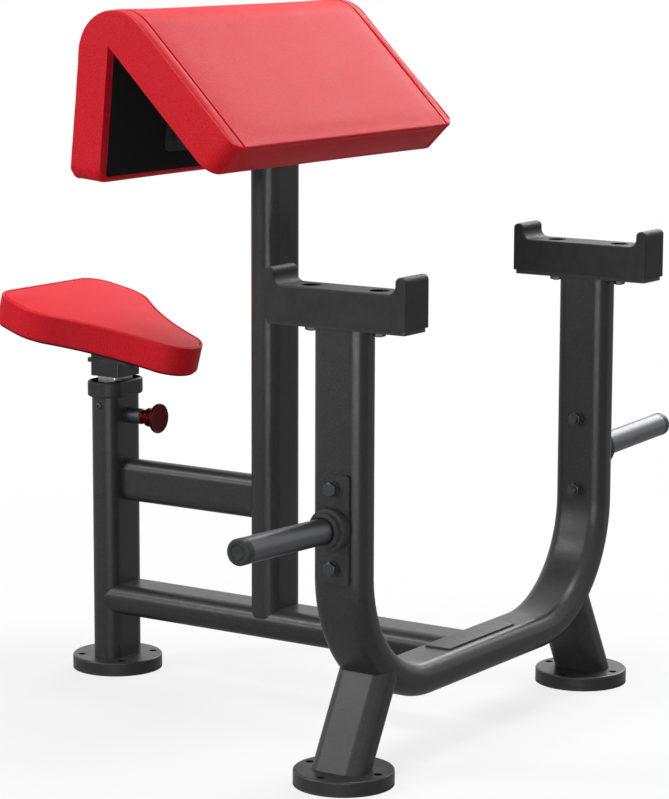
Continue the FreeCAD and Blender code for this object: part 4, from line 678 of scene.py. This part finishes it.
def pad_half(ways, long, thick, count):
    """Half of the pad's outline from its hem to its ridge, as rows: place, outward way, share of the crown, share of
    the corner's trim, and opposite on the inner face the way down, whether it lies on the board, and the trim."""
    down, out = ways
    start = float(ridge_at @ down)
    rows = []
    for a in np.linspace(0, math.pi / 2, HEM_STEPS):
        way = -out * math.cos(a) + down * math.sin(a)
        rows.append((*((long - HEM) * down + HEM * out + HEM * way), *way, 0, 1, long - HEM, 0, 1))
    for rise in np.linspace(HEM, thick - CREASE, SIDE_STEPS)[1:-1]:
        rows.append((*(long * down + rise * out), *down, 0, 1, long - HEM, 0, 1))
    for a in np.linspace(0, math.pi / 2, CREASE_STEPS):
        way = down * math.cos(a) + out * math.sin(a)
        rows.append((*((long - CREASE) * down + (thick - CREASE) * out + CREASE * way), *way, math.sin(a), 1,
                     long - HEM, 0, 1))
    inner = [(long - BOARD_GAP, 0), (long - BOARD_GAP, 1)]
    inner += [(d, 1) for d in np.linspace(long - BOARD_GAP, BOARD_START, count - 4)[1:-1]]
    inner += [(BOARD_START, 1), (BOARD_START, 0)]
    for i, d in enumerate(np.linspace(long - CREASE, start, len(inner) + 1)[1:]):
        rows.append((*(d * down + thick * out), *out, 1, near_end(d, long), *inner[i], near_end(inner[i][0], long)))
    return np.array(rows)


front_half = pad_half(front_way, FRONT_LONG, FRONT_THICK, FRONT_STEPS)
back_half = pad_half(back_way, BACK_LONG, BACK_THICK, BACK_STEPS)
turn_from, turn_to = math.atan2(*front_way[1][::-1]), math.atan2(*back_way[1][::-1])
ridge_rows = []
for a in np.linspace(turn_from, turn_to, RIDGE_STEPS)[1:-1]:
    way = np.array((math.cos(a), math.sin(a)))
    ridge_rows.append((*(ridge_at + RIDGE_R * way), *way, 1, 0, 0, 0, 0))
pad_rows = np.concatenate([front_half, np.array(ridge_rows), back_half[::-1]])
rim_at, rim_out = pad_rows[:, :2], pad_rows[:, 2:4]
crowned, trimmed, inner_down, on_board, inner_trimmed = pad_rows[:, 4:].T
down_ways, out_ways = [np.concatenate([np.tile(front, (len(front_half) + len(ridge_rows), 1)),
                                       np.tile(back, (len(back_half), 1))])
                       for front, back in zip(front_way, back_way)]


def pad_ring(x):
    """The pad's outline at one place across it: the cover, then the inner face, as one ring."""
    past = max(0, abs(x) - SEAM_X) / (PAD_HALF - SEAM_X)
    edge = min(1, max(-1, (abs(x) - PAD_HALF + WELT) / WELT))
    sink = END_DROP * past ** DROP_POWER - WELT_HIGH + WELT * (1 - math.sqrt(1 - max(0, edge) ** 2))
    sink += WELT_HIGH * (1 - math.sqrt(1 - min(0, edge) ** 2))
    fold = WELT_DEEP * max(0, 1 - abs(abs(x) - PAD_HALF + WELT_GAP) / (WELT_GAP - WELT))
    seam = SEAM_DEEP * max(0, 1 - abs(abs(x) - SEAM_X) / SEAM_HALF) ** SEAM_POWER + fold * crowned
    turn = max(0, abs(x) - PAD_HALF + PAD_CORNER)
    trim = PAD_CORNER - math.sqrt(PAD_CORNER ** 2 - turn ** 2)
    out = crowned * (PAD_CROWN * (1 - CROWN_FALL * (x / PAD_HALF) ** 2) - sink) - seam
    out[:HEM_STEPS] = out[-HEM_STEPS:] = 0
    cover = rim_at + rim_out * out[:, None] - down_ways * (trimmed * trim)[:, None]
    deep = BOARD_DEEP * on_board * (abs(x) < BOARD_SIDE)
    inner = down_ways * (inner_down - trim * inner_trimmed)[:, None] + out_ways * deep[:, None]
    ring = np.concatenate([cover, inner[::-1]])
    return np.column_stack([np.full(len(ring), x), ring]) * MM


seam_steps = [SEAM_X + SEAM_HALF * t for t in (-3, -1.6, -1, -0.7, -0.4, -0.15, 0, 0.15, 0.4, 0.7, 1, 1.6)]
end_steps = [292.5, BOARD_SIDE - 0.1, BOARD_SIDE + 0.1, 298, 300.5, 302.5]
end_steps += [PAD_HALF - d for d in (7.4, 6.6, 5.9, 5.2, 4.7, 4.2, 3.7, 3.2, 2.6, 2.0, 1.4, 0.9, 0.45, 0.15)]
halves = sorted(list(np.linspace(0, PLAIN_X, PLAIN_STEPS)[1:]) + seam_steps + end_steps)
places = [-x for x in reversed(halves)] + [0] + halves
rings = [pad_ring(x) for x in [-PAD_HALF] + places + [PAD_HALF]]
build = bmesh.new()
rows = skin(build, rings)
count = len(pad_rows)
for ring in (rows[0], rows[-1]):
    for i in range(count - 1):
        build.faces.new((ring[i], ring[i + 1], ring[-2 - i], ring[-1 - i]))
pad_mesh = solid("arm_pad_cover", build, crisp=40)
held = [ring[count:] for ring in rings]
held += [pad_ring(x)[:count] for x in (-SEAM_X, SEAM_X)]
held += [ring[CREASE_FROM:CREASE_TO] for ring in rings]
held += [ring[count - CREASE_TO:count - CREASE_FROM] for ring in rings]
filled(pad_mesh, np.concatenate(held), reach=7 * MM, cap=2 * MM)
pad_mesh.transform(Matrix.Translation(RIDGE))
fit("arm_pad_cover", pad_mesh, vinyl, "frame", "red_vinyl", "pad_cushion")

# Bar catches: saddles cast in black urethane, each on a steel plate welded across the top of the U, held by two
# socket screws sunk in deep counterbores, with nuts under the plate.
dress(powder_coat, "right_catch_plate", "left_catch_plate")
dress(black_steel, "catch_screws")
CATCH_BOLT_Y = 58 * MM
NUT_STUB = {"Shank Length": 0.5 * MM, "Thread Length": 0.4 * MM, "Thread Pitch": 0.4 * MM}
M10_NUT = {"Across Flats": 17 * MM, "Head Height": 8 * MM, "Shank Diameter": 10 * MM, **NUT_STUB}

# Cast urethane: a dense grey-black with a waxy, half-dull skin and slow clouds where the mould was cooler.
MOULD_CLOUD, CAST_GRAIN = 25 * MM, 2 * MM
urethane, tree, shader, at = surface("cast_black_urethane", {"IOR": 1.5, "Specular IOR Level": 0.1})
cloud = add(tree, "ShaderNodeTexNoise", {"Vector": at, "Scale": 1 / MOULD_CLOUD, "Detail": 4.0}).outputs["Fac"]
grain = add(tree, "ShaderNodeTexNoise", {"Vector": at, "Scale": 1 / CAST_GRAIN, "Detail": 1.0}).outputs["Fac"]
patterned(tree, shader, tone=(cloud, "#2A2A2B", "#424243"), roughness=(cloud, 0.4, 0.5),
          relief=(grain, 0.2, 0.15 * MM), span=NOISE_SPAN)
dress(urethane, "right_catch_pad", "left_catch_pad")
screwed("catch_plate_nuts", hex_screws, [((x * U_HALF, U_FRONT + y * CATCH_BOLT_Y, U_TOP), (0, 0, -1), (1, 0, 0))
                                         for x in (-1, 1) for y in (-1, 1)], M10_NUT, "frame", "catch_nuts")

# Weight pegs: a steel core welded to a plate, and on it a stepped rubber bumper, a satin stainless sleeve and a
# moulded cap pressed over the end.
dress(powder_coat, "right_peg_plate", "left_peg_plate")
dress(bright_zinc, "right_peg_core", "left_peg_core")
PEG_TILT = math.radians(1.9)
PEG_REACH, PEG_PLATE, PEG_Z = 241 * MM, 6.4 * MM, 386 * MM
PEG_FACE = U_HALF + TUBE_NARROW / 2 + PEG_PLATE
PEG_END = (PEG_REACH - PEG_PLATE) / math.cos(PEG_TILT)
BUMPER_EASE, CAP_EDGE, CAP_ROUND = 1.8 * MM, 0.5 * MM, 4 * MM
dress(stainless, "right_peg_sleeve", "left_peg_sleeve")
# Outlines of the bumper from the plate's face and of the cap from the peg's end: (along, radius) in millimetres.
bumper = [(0.1, 19.2), (0.1, 31), (16, 31), (16.6, 26.4), (26, 26), (26, 19.2), (0.1, 19.2)]
bumper = [(along * MM, radius * MM) for along, radius in bumper]
cap = [(-14, 0), (-14, 19.3), (0, 19.3), (0, 12.2), (-1, 11.6), (-1, 10), (0, 9.4), (0, 3.4), (-1, 0)]
cap = [(PEG_END + along * MM, radius * MM) for along, radius in cap]
for side, name in ((-1, "right"), (1, "left")):
    root, way = (side * PEG_FACE, U_FRONT, PEG_Z), (side * math.cos(PEG_TILT), 0, math.sin(PEG_TILT))
    build = bmesh.new()
    turned(build, eased(bumper, BUMPER_EASE), root, way)
    fit(name + "_stop", solid(name + "_stop", build, crisp=50), rubber, "frame", "rubber", name + "_peg_bumper")
    build = bmesh.new()
    turned(build, eased(cap[:3], CAP_EDGE)[:-1] + eased(cap[1:4], CAP_ROUND)[1:] + cap[4:], root, way)
    fit(name + "_cap", solid(name + "_cap", build, crisp=30), moulded_plastic, "frame", "black_plastic",
        name + "_peg_cap")

# Peg bolts: two black-oxided M12 hexagon bolts through each peg plate and the U, with a flat washer under each head
# and each nut. The nuts are on the inner side of the U.
WASHER, BOLT_OVER, DRILL_SHARE = 2.5 * MM, 14 * MM, 3.0
PEG_BOLT_Z = (327.5 * MM, 444.5 * MM)
U_INNER = U_HALF - TUBE_NARROW / 2
UPRIGHT = (0, 0, 1)
M12 = {"Across Flats": 19 * MM, "Head Height": 7.5 * MM, "Shank Diameter": 12 * MM, "Thread Pitch": 1.75 * MM,
       "Thread Length": 24 * MM, "Shank Length": PEG_FACE - U_INNER + 2 * WASHER + BOLT_OVER}
M12_NUT = {**M12, "Head Height": 10 * MM, **NUT_STUB}
M12_WASHER = {"Outer Radius": 12 * MM, "Hole Radius": 6.3 * MM, "Thickness": WASHER}
flat_washers = bpy.data.node_groups.new("flat_washers", "GeometryNodeTree")
given = sockets(flat_washers, "Outer Radius", "Hole Radius", "Thickness")
disc = add(flat_washers, "GeometryNodeMeshCylinder", {"Vertices": 48, "Radius": given["Outer Radius"],
                                                      "Depth": given["Thickness"]})
through = add(flat_washers, "ShaderNodeMath", {0: given["Thickness"], 1: DRILL_SHARE}, operation="MULTIPLY")
drill = add(flat_washers, "GeometryNodeMeshCylinder", {"Vertices": 32, "Radius": given["Hole Radius"],
                                                       "Depth": through.outputs[0]})
washer = add(flat_washers, "GeometryNodeMeshBoolean", {"Mesh 1": disc.outputs[0], "Mesh 2": drill.outputs[0]},
             operation="DIFFERENCE")
close_tree(flat_washers, set_out(flat_washers, given["Geometry"], washer.outputs["Mesh"]), given["Material"])
heads = [((side * (PEG_FACE + WASHER), U_FRONT, z), (side, 0, 0), UPRIGHT) for side in (-1, 1) for z in PEG_BOLT_Z]
nuts = [((side * (U_INNER - WASHER), U_FRONT, z), (-side, 0, 0), UPRIGHT) for side in (-1, 1) for z in PEG_BOLT_Z]
rests = [((side * (x + WASHER / 2), U_FRONT, z), (side, 0, 0), UPRIGHT)
         for side in (-1, 1) for z in PEG_BOLT_Z for x in (PEG_FACE, U_INNER - WASHER)]
screwed("plate_through_bolts", hex_screws, heads, M12, "frame", "peg_bolts")
screwed("plate_through_nuts", hex_screws, nuts, M12_NUT, "frame", "peg_nuts")
screwed("plate_through_washers", flat_washers, rests, M12_WASHER, "frame", "peg_washers")

# Studio: a plain pale floor and white surroundings, soft lights overhead, on the right and behind on the left, low
# and high, and a wide low one on the left that draws broad bands along the tubes' round edges. The camera stands
# where the photo was taken from.
FLOOR_WIDE = 60.0
floor_mesh = bpy.data.meshes.new("floor")
floor_mesh.from_pydata([(x * FLOOR_WIDE / 2, y * FLOOR_WIDE / 2, 0)
                        for x, y in ((-1, -1), (1, -1), (1, 1), (-1, 1))], [], [(0, 1, 2, 3)])
floor = bpy.data.objects.new("floor", floor_mesh)
bpy.context.scene.collection.objects.link(floor)

# Studio paper: white to the eye, with the object's soft shadow near it, but dimmer in the metal and in the light that
# it throws back, as the dark undersides of the photo's pegs show.
FLOOR_SHINE = 0.35
SHADOW_NEAR, SHADOW_FAR, NEAR_WHITE = 0.7, 2.2, 0.8
pale_floor = bpy.data.materials.new("pale_studio_paper")
pale_floor.use_nodes = True
tree = pale_floor.node_tree
tree.nodes.clear()
path = add(tree, "ShaderNodeLightPath").outputs
tint = add(tree, "ShaderNodeMix", {0: path["Is Camera Ray"], 6: linear("#7A7A79"), 7: linear("#EDEDEC")},
           data_type="RGBA")
paper = add(tree, "ShaderNodeBsdfDiffuse", {"Color": tint.outputs[2]})
glow = add(tree, "ShaderNodeEmission", {"Color": linear("#FFFFFF"), "Strength": 1.0})
place = add(tree, "ShaderNodeTexCoord").outputs["Object"]
away = add(tree, "ShaderNodeVectorMath", {0: place}, operation="LENGTH").outputs["Value"]
white = add(tree, "ShaderNodeMapRange", {"Value": away, "From Min": SHADOW_NEAR, "From Max": SHADOW_FAR,
                                         "To Min": NEAR_WHITE}, interpolation_type="SMOOTHSTEP")
shine = add(tree, "ShaderNodeMath", {0: path["Is Glossy Ray"], 1: FLOOR_SHINE}, operation="MULTIPLY")
seen = add(tree, "ShaderNodeMath", {0: path["Is Camera Ray"], 1: shine.outputs[0]}, operation="MAXIMUM")
seen = add(tree, "ShaderNodeMath", {0: seen.outputs[0], 1: path["Is Transmission Ray"]}, operation="MAXIMUM")
share = add(tree, "ShaderNodeMath", {0: seen.outputs[0], 1: white.outputs[0]}, operation="MULTIPLY")
mixed = add(tree, "ShaderNodeMixShader", {0: share.outputs[0], 1: paper.outputs[0], 2: glow.outputs[0]})
add(tree, "ShaderNodeOutputMaterial", {"Surface": mixed.outputs[0]})
floor_mesh.materials.append(pale_floor)

# White surroundings that the camera and the shine see in full, and that light the bench only a little.
AMBIENT = 0.04
world = bpy.data.worlds.new("white_studio")
world.use_nodes = True
tree = world.node_tree
tree.nodes.clear()
path = add(tree, "ShaderNodeLightPath").outputs
seen = add(tree, "ShaderNodeMath", {0: path["Is Camera Ray"], 1: path["Is Glossy Ray"]}, operation="MAXIMUM")
seen = add(tree, "ShaderNodeMath", {0: seen.outputs[0], 1: path["Is Transmission Ray"]}, operation="MAXIMUM")
level = add(tree, "ShaderNodeMapRange", {"Value": seen.outputs[0], "To Min": AMBIENT})
sky = add(tree, "ShaderNodeBackground", {"Color": linear("#FFFFFF"), "Strength": level.outputs[0]})
add(tree, "ShaderNodeOutputWorld", {"Surface": sky.outputs[0]})
bpy.context.scene.world = world

MIDDLE = Vector((0, 0, 0.55))


def lamp(name, place, wide, tall, power):
    """A soft light at a place, turned to the middle of the bench."""
    data = bpy.data.lights.new(name, "AREA")
    data.shape, data.size, data.size_y, data.energy = "RECTANGLE", wide, tall, power
    made = bpy.data.objects.new(name, data)
    made.location = place
    made.rotation_euler = (MIDDLE - Vector(place)).to_track_quat("-Z", "Y").to_euler()
    bpy.context.scene.collection.objects.link(made)
    return made


lamps = [lamp("overhead", (0.6, -0.5, 4.6), wide=2.0, tall=2.0, power=135),
         lamp("right", (3.7, 0.1, 2.5), wide=2.2, tall=2.2, power=90),
         lamp("back_left", (-3.5, 2.4, 1.4), wide=0.9, tall=0.9, power=32),
         lamp("high_left", (-2.6, 2.2, 3.0), wide=0.8, tall=0.8, power=55),
         lamp("low_left", (-3.4, -1.8, 0.3), wide=3.0, tall=0.45, power=55)]

TARGET = Vector((-14.111, -119.196, 500)) * MM
DISTANCE, FOCAL, SENSOR, FAR_CLIP = 4738.578 * MM, 135.263, 36.0, 100.0
AZIMUTH, ELEVATION, ROLL = math.radians(-56.41), math.radians(9.467), math.radians(0.177)
back = Vector((math.sin(AZIMUTH) * math.cos(ELEVATION), -math.cos(AZIMUTH) * math.cos(ELEVATION),
               math.sin(ELEVATION)))
right = Vector((math.cos(AZIMUTH), math.sin(AZIMUTH), 0))
up = back.cross(right)
right, up = right * math.cos(ROLL) + up * math.sin(ROLL), up * math.cos(ROLL) - right * math.sin(ROLL)
lens = bpy.data.cameras.new("camera")
lens.lens, lens.sensor_width, lens.clip_end = FOCAL, SENSOR, FAR_CLIP
camera = bpy.data.objects.new("camera", lens)
camera.matrix_world = Matrix.Translation(TARGET + back * DISTANCE) @ Matrix((right, up, back)).transposed().to_4x4()
bpy.context.scene.collection.objects.link(camera)
bpy.context.scene.camera = camera
bpy.context.scene.view_settings.view_transform = "Standard"
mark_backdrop(floor, camera, *lamps)

low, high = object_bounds()
